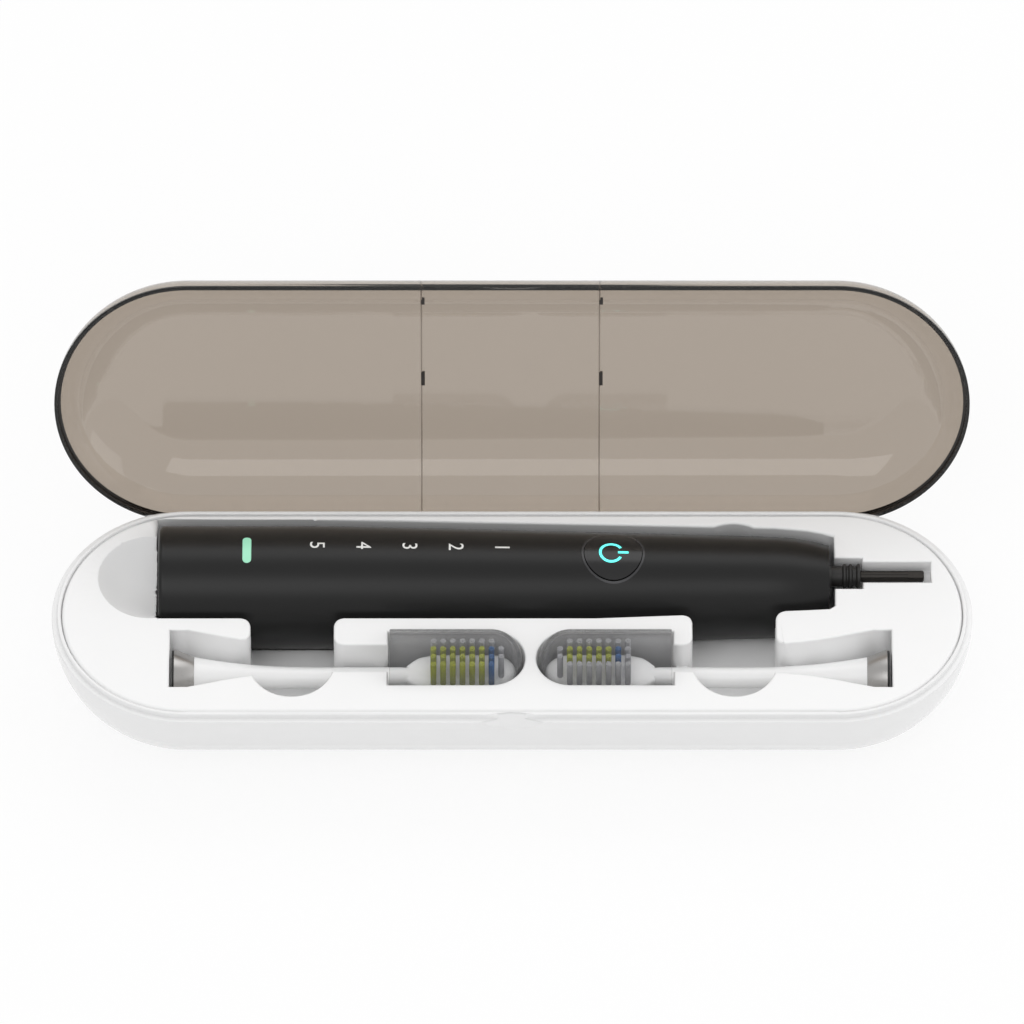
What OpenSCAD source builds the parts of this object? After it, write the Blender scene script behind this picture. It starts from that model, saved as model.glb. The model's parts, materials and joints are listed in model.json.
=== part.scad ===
// Sonic toothbrush with two capped brush heads in a hinged charging case.
// Origin: centre of the face that the feet stand on. X runs along the case towards the
// handle's drive shaft, Y towards the hinge, Z up. The lid is drawn standing open.

/* [Handle] */
// Widest diameter of the grip
handle_d = 28.2; // [25:0.1:32]
// Length of the grip from its end cap to its nose
handle_l = 153.3; // [140:0.1:170]
// Radius lost along the taper
handle_taper = 2.1; // [0:0.1:3]
// Distance from the end cap to the start of the taper
taper_start = 35.8; // [20:0.1:50]
// Length over which the taper is counted
taper_run = 90; // [70:1:120]
// Wall of the handle shell
handle_wall = 1.5; // [1.2:0.1:2.2]
// Depth of the drive axis under the top of the grip at its widest
nose_drop = 10; // [9.6:0.1:12]
// Radius of the flat nose
nose_r = 6.3; // [5.4:0.1:7]
// Length over which the grip closes in to the nose
nose_run = 12; // [8:1:16]
// Radius that the grip loses over that length
nose_close = 1.7; // [0:0.1:1.9]
// Thickness of the end cap's visible disc
end_cap_t = 1.5; // [1:0.1:3]
// Depth of the end cap's spigot
spigot_l = 5.5; // [4:0.1:7]

/* [Drive] */
// Diameter of the drive shaft outside the handle
shaft_d = 2.6; // [2.2:0.1:3.2]
// Diameter of the drive shaft inside the handle
core_d = 2.2; // [1.8:0.05:2.2]
// Length of shaft that stands out of the collar
shaft_out = 14.5; // [10:0.1:18]
// Length of the ribbed collar on the nose
collar_l = 7.2; // [5:0.1:9]
// Diameter of the collar's ribs
collar_d = 5.7; // [5:0.1:6.5]
// Running clearance on the shaft's radius
shaft_fit = 0.05; // [0.02:0.01:0.1]
// Length of the motor case
motor_l = 18; // [14:0.5:20]
// Outer diameter of the motor case
motor_d = 10.4; // [9:0.1:10.8]

/* [Button and lights] */
// Diameter of the power button
button_d = 13.2; // [10:0.1:15]
// Distance from the end cap to the button's centre
button_x = 103.9; // [95:0.1:110]
// Width of the thin ring round the button
button_ring_w = 0.5; // [0.3:0.05:1]
// How far the button stands proud of the grip
button_proud = 0.3; // [0:0.05:0.6]
// Press travel of the button
button_travel = 0.4; // [0.2:0.05:0.6]
// Clearance round the button
button_gap = 0.15; // [0.1:0.05:0.3]
// Width of the charge light along the handle
light_w = 2.1; // [1.5:0.1:3]
// Length of the charge light across the handle
light_l = 7.5; // [5:0.1:9]
// Distance from the end cap to the charge light
light_x = 20.3; // [16:0.1:26]
// Number of brushing modes
modes = 5; // [3:1:6]
// Distance between mode marks
mode_pitch = 10.55; // [8:0.05:11]

/* [Inside the handle] */
// Diameter of the battery cell
battery_d = 14; // [12:0.1:14.5]
// Length of the battery cell
battery_l = 49; // [40:0.5:52]
// Thickness of a circuit board
board_t = 1; // [0.8:0.1:1.6]
// Width of the handle's circuit board
board_w = 14; // [10:0.5:15]

/* [Brush heads] */
// Length of a brush head
head_l = 80; // [70:0.5:86]
// Diameter of a head's metal ring at its wide end
ring_d = 13; // [11:0.1:14]
// Length of the metal ring
ring_l = 4.6; // [3:0.1:7]
// Radius that the ring loses from its wide end to its narrow end
ring_taper = 1.8; // [0.8:0.1:2]
// Diameter of the head's neck
neck_d = 4.8; // [4:0.1:6]
// Length over which the flare narrows to the neck
flare_l = 28; // [22:0.5:34]
// Length of the bristle plate
plate_l = 25; // [20:0.5:27]
// Width of the bristle plate
plate_w = 10.6; // [8:0.1:11]
// Thickness of the bristle plate
plate_t = 4.2; // [3.5:0.1:5]
// Free length of the bristles
bristle_l = 7.6; // [6:0.1:8]
// Diameter of a tuft
tuft_d = 1.6; // [1.2:0.1:1.8]
// Distance between tufts
tuft_pitch = 2.2; // [1.9:0.05:2.4]
// Distance between the noses of the two caps
head_gap = 3.4; // [2:0.1:8]
// Distance of the middle between the heads from the middle of the case
heads_x = 4.25; // [0:0.05:5]

/* [Caps] */
// Width of a cap
cap_w = 14.6; // [14:0.1:17]
// Length of a cap
cap_l = 30.4; // [29:0.1:34]
// Wall of a cap
cap_wall = 0.9; // [0.7:0.05:1.2]
// How far the cap's round top is centred under the tray's top
cap_drop = 1.2; // [0:0.1:2]
// Height of a cap's straight sides
cap_side = 13.1; // [11:0.1:14]

/* [Case] */
// Wall of the base and its floor
base_wall = 1.5; // [1.2:0.1:1.8]
// Wall of the tray's troughs
tray_wall = 0.7; // [0.6:0.05:1]
// Thickness of the tray's top plate
tray_t = 1.2; // [1:0.1:1.6]
// Gap between a part and the trough that it lies in
cradle_gap = 0.3; // [0.2:0.05:0.5]
// Depth of the handle's axis under the tray's top
handle_drop = 7; // [6:0.1:9]
// Free height under the handle's trough for the charging coil
coil_room = 2.7; // [2.4:0.1:5]
// Room from the case's end to the handle's end cap
tail_room = 24.2; // [22:0.1:30]
// Room from the shaft's tip to the case's other end
tip_room = 10.8; // [9:0.1:16]
// Least room from a head's ring to the case's end
ring_room = 19.05; // [18.5:0.05:24]
// Rim from the handle's trough to the rear of the case
rear_band = 3.75; // [3.7:0.05:5]
// Strip between the handle's trough and the cap pockets
divider_w = 4.05; // [3.5:0.05:6]
// Strip from the cap pockets to the front of the case
front_band = 10; // [9.5:0.1:14]
// Width of the base's elliptical lower corner
corner_w = 20.5; // [16:0.5:22]
// Height of the lip that the lid closes round
lip_h = 1.3; // [1:0.1:1.8]
// Width of the lip
lip_w = 0.85; // [0.7:0.05:1.2]
// Gap between the lip and the tray
groove_w = 0.25; // [0.15:0.05:0.4]
// Radius of the tray's top edge
tray_edge = 0.8; // [0.4:0.1:1]
// Height that the feet stand proud of the flat underside
foot_proud = 0.5; // [0.3:0.1:1]
// Diameter of a foot
foot_d = 6.4; // [5:0.1:8]
// Width of the finger slots across the tray
slot_w = 19; // [16:0.5:22]
// Distance from the left cap's open end to the middle of its finger slot
left_slot = 22.25; // [15:0.05:26]
// Distance from the right cap's open end to the middle of its finger slot
right_slot = 14.25; // [14:0.05:22]
// Depth of the finger slots
slot_depth = 16.3; // [14:0.1:16.5]
// Radius of the scoop at the end cap
scoop_r = 12; // [11:0.5:13.5]
// Depth of the tail scoop
scoop_depth = 5.5; // [4:0.5:7]
// Width of the thumb notches in the base and the lid
thumb_w = 14.6; // [10:0.2:18]

/* [Lid] */
// Depth of the lid
lid_h = 14.9; // [13:0.1:18]
// Wall of the lid
lid_wall = 1.4; // [1.2:0.05:2]
// Step from the case's outline to the lid's
lid_inset = 0.3; // [0.2:0.05:0.5]
// Thickness of the lid's skirt where it closes round the lip
skirt_t = 0.85; // [0.7:0.05:1]
// Clearance between the skirt and the lip
lid_fit = 0.12; // [0.1:0.01:0.2]
// Width of the lid's elliptical corner
lid_corner_w = 16.6; // [13:0.1:18]
// Angle to which the lid opens
lid_open = 112; // [95:1:118]
// Distance of each hinge arm from the middle
hinge_x = 20.4; // [12:0.1:40]
// Width of a hinge arm
arm_w = 4; // [3:0.1:6]
// Diameter of a hinge pin
pin_d = 1.2; // [1:0.05:1.3]

/* [Charger] */
// Diameter of the transmitting coil
coil_d = 20; // [16:0.5:20]
// Thickness of the transmitting coil
coil_t = 1.2; // [0.8:0.1:1.4]
// Thickness of the ferrite disc
ferrite_t = 0.8; // [0.6:0.1:1]
// Width of the charging inlet's metal shell
inlet_w = 8.9; // [8.9:0.05:9.2]
// Height of the charging inlet's metal shell
inlet_h = 3.2; // [3.2:0.05:3.6]

/* [Hidden] */
$fn = 48;
eps = 0.02;

// Heights
handle_r = handle_d / 2;
shell_z = foot_proud;
floor_z = shell_z + base_wall;
handle_z = floor_z + coil_room + tray_wall + cradle_gap + handle_r;
tray_z = handle_z + handle_drop;
ledge_z = tray_z - lip_h;
base_h = ledge_z - shell_z;
plate_z = tray_z - tray_t;
drive_z = handle_z + handle_r - nose_drop;
cap_z = tray_z - cap_drop;
cap_low = cap_z - cap_side;
pocket_z = cap_low - cradle_gap;
slot_z = tray_z - slot_depth;

// Widths, added up from the rear of the case to its front
pocket_w = cap_w + 2 * (cradle_gap + 0.1);
trough_w = handle_d + 2 * cradle_gap;
case_r = (rear_band + trough_w + divider_w + pocket_w + front_band) / 2;
handle_y = case_r - rear_band - trough_w / 2;
head_y = front_band + pocket_w / 2 - case_r;

// Room in front of the collar and of the shaft in the tray
collar_room = 2.6;
shaft_room = 1.85;

// Lengths
shaft_l = collar_l + shaft_out;
ring_half = ring_d / 2;
case_l = max(tail_room + handle_l + shaft_l + tip_room,
             2 * (heads_x + head_gap / 2 + head_l + ring_room));
half = case_l / 2 - case_r;
tail_x = -case_l / 2 + tail_room;
nose_x = tail_x + handle_l;
shaft_x = nose_x + shaft_l;

// Rim and hinge
lip_ro = case_r - lid_inset - skirt_t - lid_fit;
lip_ri = lip_ro - lip_w;
tray_r = lip_ri - groove_w;
lid_r = case_r - lid_inset;
rim_z = ledge_z + 0.1;
hinge_y = case_r - 1.74;
hinge_z = ledge_z - 2.72;
eye_r = pin_d / 2 + 0.8;
roll_r = norm([lid_r - skirt_t - hinge_y, rim_z - hinge_z]) - 0.2;
boss_w = 3;
stop_drop = 2.65;

// Profiles ---------------------------------------------------------------------------

// Points on an ellipse from straight down (0 degrees) round to straight out (90)
function corner(cr, cz, a, b, t0, t1, n) =
  [for (i = [0:n]) let (t = t0 + (t1 - t0) * i / n) [cr + a * sin(t), cz - b * cos(t)]];

function mirrored(pts) =
  concat(pts, [for (i = [len(pts) - 1:-1:0]) if (pts[i][0] > 0) [-pts[i][0], pts[i][1]]]);

// Outer radius of the grip at a distance from its end cap
function grip_r(x) =
  handle_r - handle_taper * pow(max(0, x - taper_start) / taper_run, 1.15)
  - nose_close * pow(max(0, x - handle_l + nose_run) / nose_run, 2);

// Stations along the grip at which its taper is drawn
grip_stations = [0, taper_start,
                 for (i = [1:5]) taper_start + (handle_l - nose_run - taper_start) * i / 5,
                 handle_l - 0.6 * nose_run, handle_l - 0.3 * nose_run, handle_l];

function base_outline(inset) =
  concat([[0, shell_z + inset]],
         corner(case_r - corner_w, ledge_z, corner_w - inset, base_h - inset, 0, 90, 14));

// Half-width of a head's channel at a distance from the channel's end
function channel_half(x) =
  x < 5 ? ring_half + 1.7
        : neck_d / 2 + 1.4 + (ring_half - neck_d / 2 + 0.3) * pow(max(0, 1 - (x - 5) / flare_l), 2);

// Radius of a head's flare at a distance from its ring
function flare_r(x) =
  neck_d / 2 + (ring_end - neck_d / 2) * pow(max(0, 1 - x / flare_l), 2.2);

// Placing ----------------------------------------------------------------------------

// Turns local Z into X, and local X and Y into Y and Z
module along_x(x, y, z) {
  translate([x, y, z]) rotate([90, 0, 90]) children();
}

module rod_x(x0, x1, y, z, r) {
  along_x(x0, y, z) cylinder(r = r, h = x1 - x0);
}

module tube_x(x0, x1, y, z, ro, ri) {
  difference() {
    rod_x(x0, x1, y, z, ro);
    rod_x(x0 - 1, x1 + 1, y, z, ri);
  }
}

// A box from its low corner to its high corner
module block(lo, hi) {
  translate(lo) cube(hi - lo);
}

// A round-ended bar whose section is a profile that starts and ends on its middle line
module stadium_bar(pts) {
  along_x(-half, 0, 0) linear_extrude(2 * half) polygon(mirrored(pts));
  for (s = [-1, 1])
    translate([s * half, 0, 0]) rotate([0, 0, -90 * s])
      rotate_extrude(angle = 180) polygon(pts);
}

// A round-ended ring of a rectangular section
module stadium_ring(r0, r1, z0, z1) {
  difference() {
    stadium_bar([[0, z0], [r1, z0], [r1, z1], [0, z1]]);
    stadium_bar([[0, z0 - 1], [r0, z0 - 1], [r0, z1 + 1], [0, z1 + 1]]);
  }
}

// A solid of revolution about a line along X
module spin_x(x, y, z, pts) {
  along_x(x, y, z) rotate_extrude() polygon(pts);
}

// The base ---------------------------------------------------------------------------

foot_spots = [for (x = [34 - half, half - 30], s = [-1, 1]) [x, s * (case_r - 17)]];
foot_top = floor_z + 1.2;
inlet_z = shell_z + 10.7;
board_z = inlet_z - inlet_h / 2 - board_t;
inlet_x = half + case_r - corner_w
          + corner_w * sqrt(1 - pow((ledge_z - inlet_z) / base_h, 2)) - 0.6;
board_x0 = half + 2;
board_x1 = inlet_x - 4.2;
screw_spots = [for (x = [board_x0 + 3, board_x0 + 14.5]) [x, 4.5]];
peg_spots = [for (p = screw_spots) [p[0], -p[1]]];

// A sphere that takes a nick of a given width, inwards and along z, out of a square edge
module thumb_nick(y, z, inwards, drop, up) {
  w = thumb_w / 2;
  a = (w * w - inwards * inwards) / (2 * inwards);
  b = (w * w - drop * drop) / (2 * drop);
  translate([0, -(y + a), z + up * b]) sphere(r = norm([a, b, w]), $fn = 96);
}

module hinge_pockets() {
  pocket = arm_w / 2 + 0.2;
  for (s = [-1, 1]) {
    rod_x(s * hinge_x - pocket, s * hinge_x + pocket, hinge_y, hinge_z, eye_r + 0.2);
    block([s * hinge_x - pocket, hinge_y + 0.35, hinge_z - stop_drop],
          [s * hinge_x + pocket, hinge_y + 5, ledge_z]);
    block([s * hinge_x - pocket, hinge_y - 0.8, hinge_z - stop_drop],
          [s * hinge_x + pocket, hinge_y + 5, hinge_z]);
    rod_x(s * hinge_x - pocket - boss_w + 0.5, s * hinge_x + pocket + boss_w - 0.5,
          hinge_y, hinge_z, pin_d / 2 + 0.02);
  }
}

module base_shell() {
  outline = base_outline(0);
  inner = corner(case_r - corner_w, ledge_z, corner_w - base_wall, base_h - base_wall, 87, 0, 14);
  pocket = arm_w / 2 + 0.2;
  color("white") difference() {
    union() {
      stadium_bar(concat(
        outline,
        [[lip_ro, ledge_z], [lip_ro, tray_z], [lip_ri, tray_z], [lip_ri, inner[0][1]]],
        inner,
        [[0, floor_z]]));
      // shelf under the tray's edge, left open behind the handle's trough
      difference() {
        stadium_ring(tray_r - 1, lip_ri + 0.6, plate_z - 1.2, plate_z);
        block([tail_x - 4, 0, plate_z - 2], [nose_x + 5, case_r, plate_z + 1]);
      }
      intersection() {
        stadium_bar(concat(outline, [[0, ledge_z]]));
        union() {
          for (p = foot_spots)
            translate([p[0], p[1], 0]) cylinder(d = foot_d + 2.4, h = foot_top + 1);
          for (p = concat(screw_spots, peg_spots))
            translate([p[0], p[1], shell_z + 0.5]) cylinder(r = 2, h = board_z - shell_z - 0.5);
          for (s = [-1, 1], t = [-1, 1])
            translate([s * hinge_x + t * (pocket + boss_w / 2), 0, 0])
              block([-boss_w / 2, hinge_y - 1.56, hinge_z - 2.3],
                    [boss_w / 2, case_r, ledge_z - 0.3]);
        }
      }
    }
    for (p = foot_spots)
      translate([p[0], p[1], -1]) cylinder(d = foot_d + 0.2, h = foot_top + 1);
    for (p = screw_spots)
      translate([p[0], p[1], floor_z + 1]) cylinder(r = 0.82, h = board_z);
    for (p = peg_spots)
      translate([p[0], p[1], floor_z + 1]) cylinder(r = 0.82, h = board_z);
    // inlet opening through the end wall
    block([inlet_x - 3, -inlet_w / 2 - 0.2, inlet_z - inlet_h / 2 - 0.2],
          [inlet_x + 6, inlet_w / 2 + 0.2, inlet_z + inlet_h / 2 + 0.2]);
    // rolled rear edge that lets the lid's rim turn past
    difference() {
      block([-half - 14, lip_ro, hinge_z], [half + 14, case_r + 1, ledge_z]);
      rod_x(-half - 15, half + 15, hinge_y, hinge_z, roll_r);
    }
    hinge_pockets();
    thumb_nick(case_r, ledge_z, 1.2, 2.7, 1);
  }
}

module case_feet() {
  color("dimgray") for (p = foot_spots)
    translate([p[0], p[1], 0]) cylinder(d = foot_d, h = foot_top);
}

module hinge_pins() {
  reach = arm_w / 2 + 0.2 + boss_w - 0.7;
  color("silver") for (s = [-1, 1])
    rod_x(s * hinge_x - reach, s * hinge_x + reach, hinge_y, hinge_z, pin_d / 2);
}

// The tray ---------------------------------------------------------------------------

// Plans of the handle's trough, grown by a margin: x, then distance from its axis.
// The cradle and the rear wall follow the grip, and the front wall is straight.
function cradle_pts(m) =
  let (x0 = tail_x - 0.4 - m, x1 = nose_x + 1.2 + m)
  concat([[x0, 0], [x0, trough_w / 2 + m]],
         [for (x = [for (g = grip_stations) if (g > 0 && g < handle_l - 10) g])
           [tail_x + x, grip_r(x) + cradle_gap + m]],
         [[x1 - 6, trough_w / 2 - 3.3 + m], [x1 - 2.5, trough_w / 2 - 4.1 + m],
          [x1, trough_w / 2 - 4.9 + m], [x1, 0]]);

function front_pts(m) =
  let (w = trough_w / 2 + m, x1 = nose_x + 1.2 + m)
  [[tail_x - 0.4 - m, w], [tail_x + 100, w], [tail_x + 122, w - 1], [x1 - 6, w - 2.4],
   [x1 - 1.2, w - 2.7], [x1, w - 3.6]];

module trough(m) {
  rear = cradle_pts(m);
  front = front_pts(m);
  spin_x(0, handle_y, handle_z, [for (p = rear) [p[1], p[0]]]);
  translate([0, handle_y, handle_z])
    linear_extrude(tray_z - handle_z + (m > 0 ? 0 : 1))
      polygon(concat([for (i = [1:len(rear) - 2]) rear[i]],
                     [for (i = [len(front) - 1:-1:0]) [front[i][0], -front[i][1]]]));
}

// The slots for the collar and the shaft beyond the trough, each wider on its front side
module drive_slots(m) {
  top = tray_z + (m > 0 ? 0 : 1);
  for (s = [[nose_x, nose_x + collar_l + 0.4, collar_d / 2 + 0.3, collar_room],
            [nose_x, shaft_x + 1.5, shaft_d / 2 + 0.75, shaft_room]]) {
    rod_x(s[0], s[1] + m, handle_y, drive_z, s[2] + m);
    block([s[0], handle_y - s[2] - s[3] - m, drive_z - s[2] - m], [s[1] + m, handle_y, top]);
    block([s[0], handle_y - 0.1, drive_z], [s[1] + m, handle_y + s[2] + m, top]);
  }
}

// The pocket of one brush head, drawn for a head whose ring points to -X
module head_pocket(m) {
  x0 = -head_l - 0.5;
  n = 8;
  low = head_z - ring_half - cradle_gap - m;
  side = [for (i = [0:n]) let (x = i * (flare_l + 5) / n) [x0 + x, channel_half(x) + m]];
  end = [[-cap_l, channel_half(90) + m]];
  pts = concat([[x0 - m, 0], [x0 - m, side[0][1]]], [for (i = [1:n]) side[i]], end, [[-cap_l, 0]]);
  top = tray_z + (m > 0 ? 0 : 1);
  translate([0, 0, low]) linear_extrude(top - low)
    polygon(concat(pts, [for (i = [len(pts) - 2:-1:1]) [pts[i][0], -pts[i][1]]]));
  translate([0, 0, pocket_z - m]) linear_extrude(top - pocket_z + m) {
    w = pocket_w / 2 + m;
    translate([-cap_w / 2, 0]) circle(r = w);
    translate([-cap_l - 0.4 - m, -w]) square([cap_l + 0.4 + m - cap_w / 2, 2 * w]);
  }
}

// The saddle that carries a head's neck beside its cap
module neck_saddle() {
  x1 = -cap_l - 1.2;
  difference() {
    block([x1 - 2.4, -channel_half(90) - 0.3, pocket_z - 0.5],
          [x1, channel_half(90) + 0.3, head_z - 0.4]);
    rod_x(x1 - 4, x1 + 1, 0, head_z, neck_d / 2 + cradle_gap);
  }
}

module both_heads() {
  for (s = [-1, 1])
    translate([heads_x + s * head_gap / 2, head_y, 0]) mirror([s > 0 ? 1 : 0, 0, 0]) children();
}

slot_spots = [heads_x - head_gap / 2 - cap_l - left_slot,
              heads_x + head_gap / 2 + cap_l + right_slot];
slot_rear = handle_y + 3.8;
slot_front = head_y - 1.5;

// A finger slot across the tray, with round ends
module finger_slots(m) {
  r = slot_w / 2 + m;
  for (x = slot_spots)
    translate([x, 0, slot_z - m]) linear_extrude(slot_depth + m + (m > 0 ? 0 : 1)) {
      for (y = [slot_front, slot_rear]) translate([0, y]) circle(r = r);
      translate([-r, slot_front]) square([2 * r, slot_rear - slot_front]);
    }
}

module tail_scoop(m) {
  dish_r = (scoop_r * scoop_r + scoop_depth * scoop_depth) / (2 * scoop_depth);
  translate([tail_x - 1.9, handle_y - 2.6, tray_z - scoop_depth + dish_r])
    rotate([90, 0, 0]) sphere(r = dish_r + m, $fn = 96);
}

module tray() {
  color("whitesmoke") union() {
    difference() {
      union() {
        stadium_bar(concat(
          [[0, plate_z], [tray_r, plate_z]],
          [for (i = [0:4]) [tray_r - tray_edge * (1 - cos(22.5 * i)),
                            tray_z - tray_edge * (1 - sin(22.5 * i))]],
          [[0, tray_z]]));
        intersection() {
          union() {
            trough(tray_wall);
            drive_slots(tray_wall);
            both_heads() head_pocket(tray_wall);
            finger_slots(tray_wall);
            tail_scoop(tray_wall);
          }
          stadium_bar(concat(
            [for (p = base_outline(base_wall + 0.15)) [min(p[0], tray_r - 0.1), p[1]]],
            [[tray_r - 0.1, plate_z + 0.2], [0, plate_z + 0.2]]));
        }
        tray_clips();
      }
      trough(0);
      drive_slots(0);
      both_heads() head_pocket(0);
      finger_slots(0);
      tail_scoop(0);
    }
    both_heads() neck_saddle();
  }
}

// Hooks that catch under the base's shelf
module tray_clips() {
  for (x = [-20, 26])
    translate([x, 0, 0]) {
      block([-3, -tray_r + 1.2, plate_z - 2.6], [3, -tray_r + 2.2, plate_z + 0.2]);
      block([-3, -tray_r + 0.6, plate_z - 2.2], [3, -tray_r + 1.3, plate_z - 1.3]);
    }
}

// The charger inside the base ----------------------------------------------------------

coil_x = tail_x + 18;
coil_y = case_r - corner_w - coil_d / 2;

module transmit_ferrite() {
  color("dimgray") translate([coil_x, coil_y, floor_z]) cylinder(d = coil_d, h = ferrite_t);
}

module transmit_coil() {
  color("chocolate") translate([coil_x, coil_y, floor_z + ferrite_t]) difference() {
    cylinder(d = coil_d - 1, h = coil_t);
    translate([0, 0, -1]) cylinder(d = coil_d / 3, h = coil_t + 2);
  }
}

module coil_leads() {
  color("firebrick") for (s = [-1, 1])
    rod_x(coil_x + coil_d / 2 + 0.2, board_x0 + 0.5, coil_y + s * 0.6, floor_z + 0.45, 0.45);
}

module charger_board() {
  color("seagreen") difference() {
    union() {
      block([board_x0, -7, board_z], [board_x0 + 17, 7, board_z + board_t]);
      block([board_x0 + 16, -inlet_w / 2, board_z], [board_x1, inlet_w / 2, board_z + board_t]);
    }
    for (p = screw_spots) translate([p[0], p[1], board_z - 1]) cylinder(r = 1, h = board_t + 2);
  }
}

module charger_parts() {
  top = board_z + board_t;
  color("dimgray") {
    block([board_x0 + 6, 0.5, top], [board_x0 + 11, 5.5, top + 1.5]);
    block([board_x0 + 6, -4.8, top], [board_x0 + 10, -0.8, top + 0.6]);
    translate([board_x0 + 1.5 + 7, 0, 0]) block([4, -4.6, top], [6.4, -1.6, top + 0.6]);
  }
}

module charging_inlet() {
  w = inlet_w / 2;
  h = inlet_h / 2;
  t = 0.35;
  color("silver") translate([inlet_x, 0, inlet_z]) {
    difference() {
      union() {
        block([-7.3, -w + h, -h], [0, w - h, h]);
        for (s = [-1, 1]) rod_x(-7.3, 0, s * (w - h), 0, h);
      }
      block([-6.6, -w + h, -h + t], [1, w - h, h - t]);
      for (s = [-1, 1]) rod_x(-6.6, 1, s * (w - h), 0, h - t);
    }
    block([-6.7, -w + h + 0.3, -0.35], [-1.2, w - h - 0.3, 0.35]);
  }
}

module board_screws() {
  color("silver") for (p = screw_spots)
    translate([p[0], p[1], 0]) {
      translate([0, 0, board_z - 3.5]) cylinder(r = 0.8, h = 3.5 + board_t);
      translate([0, 0, board_z + board_t]) difference() {
        cylinder(r = 1.8, h = 1.2);
        for (a = [0, 90]) rotate([0, 0, a]) block([-1.1, -0.2, 0.6], [1.1, 0.2, 2]);
      }
    }
}

// The lid ------------------------------------------------------------------------------

module closed_lid() {
  top = rim_z + lid_h;
  cr = lid_r - lid_corner_w;
  outer = [for (i = [0:12]) let (t = 90 - 7.5 * i)
           [cr + lid_corner_w * sin(t), rim_z + lid_h * cos(t)]];
  aw = lid_corner_w - lid_wall;
  inner = [for (i = [0:11]) let (t = 7.5 * i)
           [cr + aw * sin(t), rim_z + (lid_h - lid_wall) * cos(t)]];
  skirt = lid_r - skirt_t;
  step_z = rim_z + lip_h + 0.05;
  difference() {
    union() {
      stadium_bar(concat(
        [[0, top - lid_wall]], inner,
        [[cr + aw, step_z], [skirt, step_z], [skirt, rim_z]],
        outer, [[0, top]]));
      for (s = [-1, 1]) {
        rod_x(s * hinge_x - arm_w / 2, s * hinge_x + arm_w / 2, hinge_y, hinge_z, eye_r);
        block([s * hinge_x - arm_w / 2, lid_r - skirt_t, hinge_z],
              [s * hinge_x + arm_w / 2, hinge_y + eye_r, rim_z + 0.8]);
      }
    }
    for (s = [-1, 1])
      rod_x(s * hinge_x - arm_w, s * hinge_x + arm_w, hinge_y, hinge_z, pin_d / 2 + 0.05);
    thumb_nick(lid_r, rim_z, 0.55, 1.6, -1);
  }
}

module lid() {
  color("rosybrown", 0.5) translate([0, hinge_y, hinge_z]) rotate([-lid_open, 0, 0])
    translate([0, -hinge_y, -hinge_z]) closed_lid();
}

// The handle ---------------------------------------------------------------------------

// The grip's solid, shrunk by an inset, from x0 to x1 counted from the end cap
module grip(inset, x0, x1) {
  xs = concat([x0], [for (x = grip_stations) if (x > x0 && x < x1) x], [x1]);
  intersection() {
    spin_x(tail_x, handle_y, handle_z,
           concat([[0, x0]], [for (x = xs) [grip_r(x) - inset, x]], [[0, x1]]));
    // the underside sweeps up to the nose, which is round about the drive axis
    spin_x(tail_x, handle_y, drive_z, [
      [0, -1], [handle_d, -1], [handle_d, handle_l - 32],
      [nose_r + 10 - inset, handle_l - 14], [nose_r + 6.5 - inset, handle_l - 8.2],
      [nose_r + 3.9 - inset, handle_l - 3.8], [nose_r + 2.5 - inset, handle_l - 1],
      [nose_r + 2.1 - inset, handle_l - inset], [0, handle_l - inset]]);
  }
}

button_at = tail_x + button_x;
grip_top = handle_z + grip_r(button_x);
bore_r = button_d / 2 + button_gap + button_ring_w;
light_at = tail_x + light_x;

// The cell lies on the shell's floor where the grip is narrowest, with the chassis plate on
// it, and the board carries the switch, which stands a press's travel under the button
button_t = 2.2;
stem_l = 0.4;
switch_h = 2.4;
board_top = grip_top - button_t - stem_l - button_travel - 0.05 - switch_h;
cell_at = 19.8;
cell_z = handle_z - grip_r(cell_at + battery_l) + handle_wall + 0.2 + battery_d / 2;
chassis_z = cell_z + battery_d / 2 + 0.15;
chassis_t = 0.8;

module pill(x, y, w, l, z0, z1) {
  translate([x, y, z0]) linear_extrude(z1 - z0) {
    square([w, l - w], center = true);
    for (s = [-1, 1]) translate([0, s * (l - w) / 2]) circle(d = w);
  }
}

module handle_shell() {
  color("#1c1c1e") difference() {
    grip(0, end_cap_t, handle_l);
    grip(handle_wall, end_cap_t + spigot_l, handle_l);
    rod_x(tail_x, tail_x + end_cap_t + spigot_l + 0.1, handle_y, handle_z,
          handle_r - handle_wall - 0.1);
    rod_x(nose_x - 6, nose_x + 1, handle_y, drive_z, 2.4);
    translate([button_at, handle_y, grip_top - 5]) cylinder(r = bore_r, h = 10);
    pill(light_at, handle_y, light_w, light_l, handle_z, handle_z + 2 * handle_r);
  }
}

module end_cap() {
  r = handle_r - handle_wall - 0.2;
  z0 = end_cap_t + 2.4;
  k = 0.8 * end_cap_t;
  arc = [for (a = [0:15:90]) [grip_r(0) - k * (1 - sin(a)), k * (1 - cos(a))]];
  color("#202022") difference() {
    union() {
      spin_x(tail_x, handle_y, handle_z,
             concat([[0, 0]], arc, [[grip_r(0), end_cap_t], [0, end_cap_t]]));
      spin_x(tail_x, handle_y, handle_z,
             [[0, end_cap_t - 0.1], [r, end_cap_t - 0.1], [r, z0], [r - 0.8, z0],
              [r - 0.8, z0 + 1.2], [r, z0 + 1.2], [r, end_cap_t + spigot_l - 0.3],
              [0, end_cap_t + spigot_l - 0.3]]);
    }
    rod_x(tail_x + end_cap_t + 0.6, tail_x + 20, handle_y, handle_z, r - 2.4);
  }
}

module end_seal() {
  r = handle_r - handle_wall - 0.58;
  color("orangered") along_x(tail_x + end_cap_t + 3, handle_y, handle_z)
    rotate_extrude() translate([r, 0]) circle(r = 0.4);
}

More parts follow.
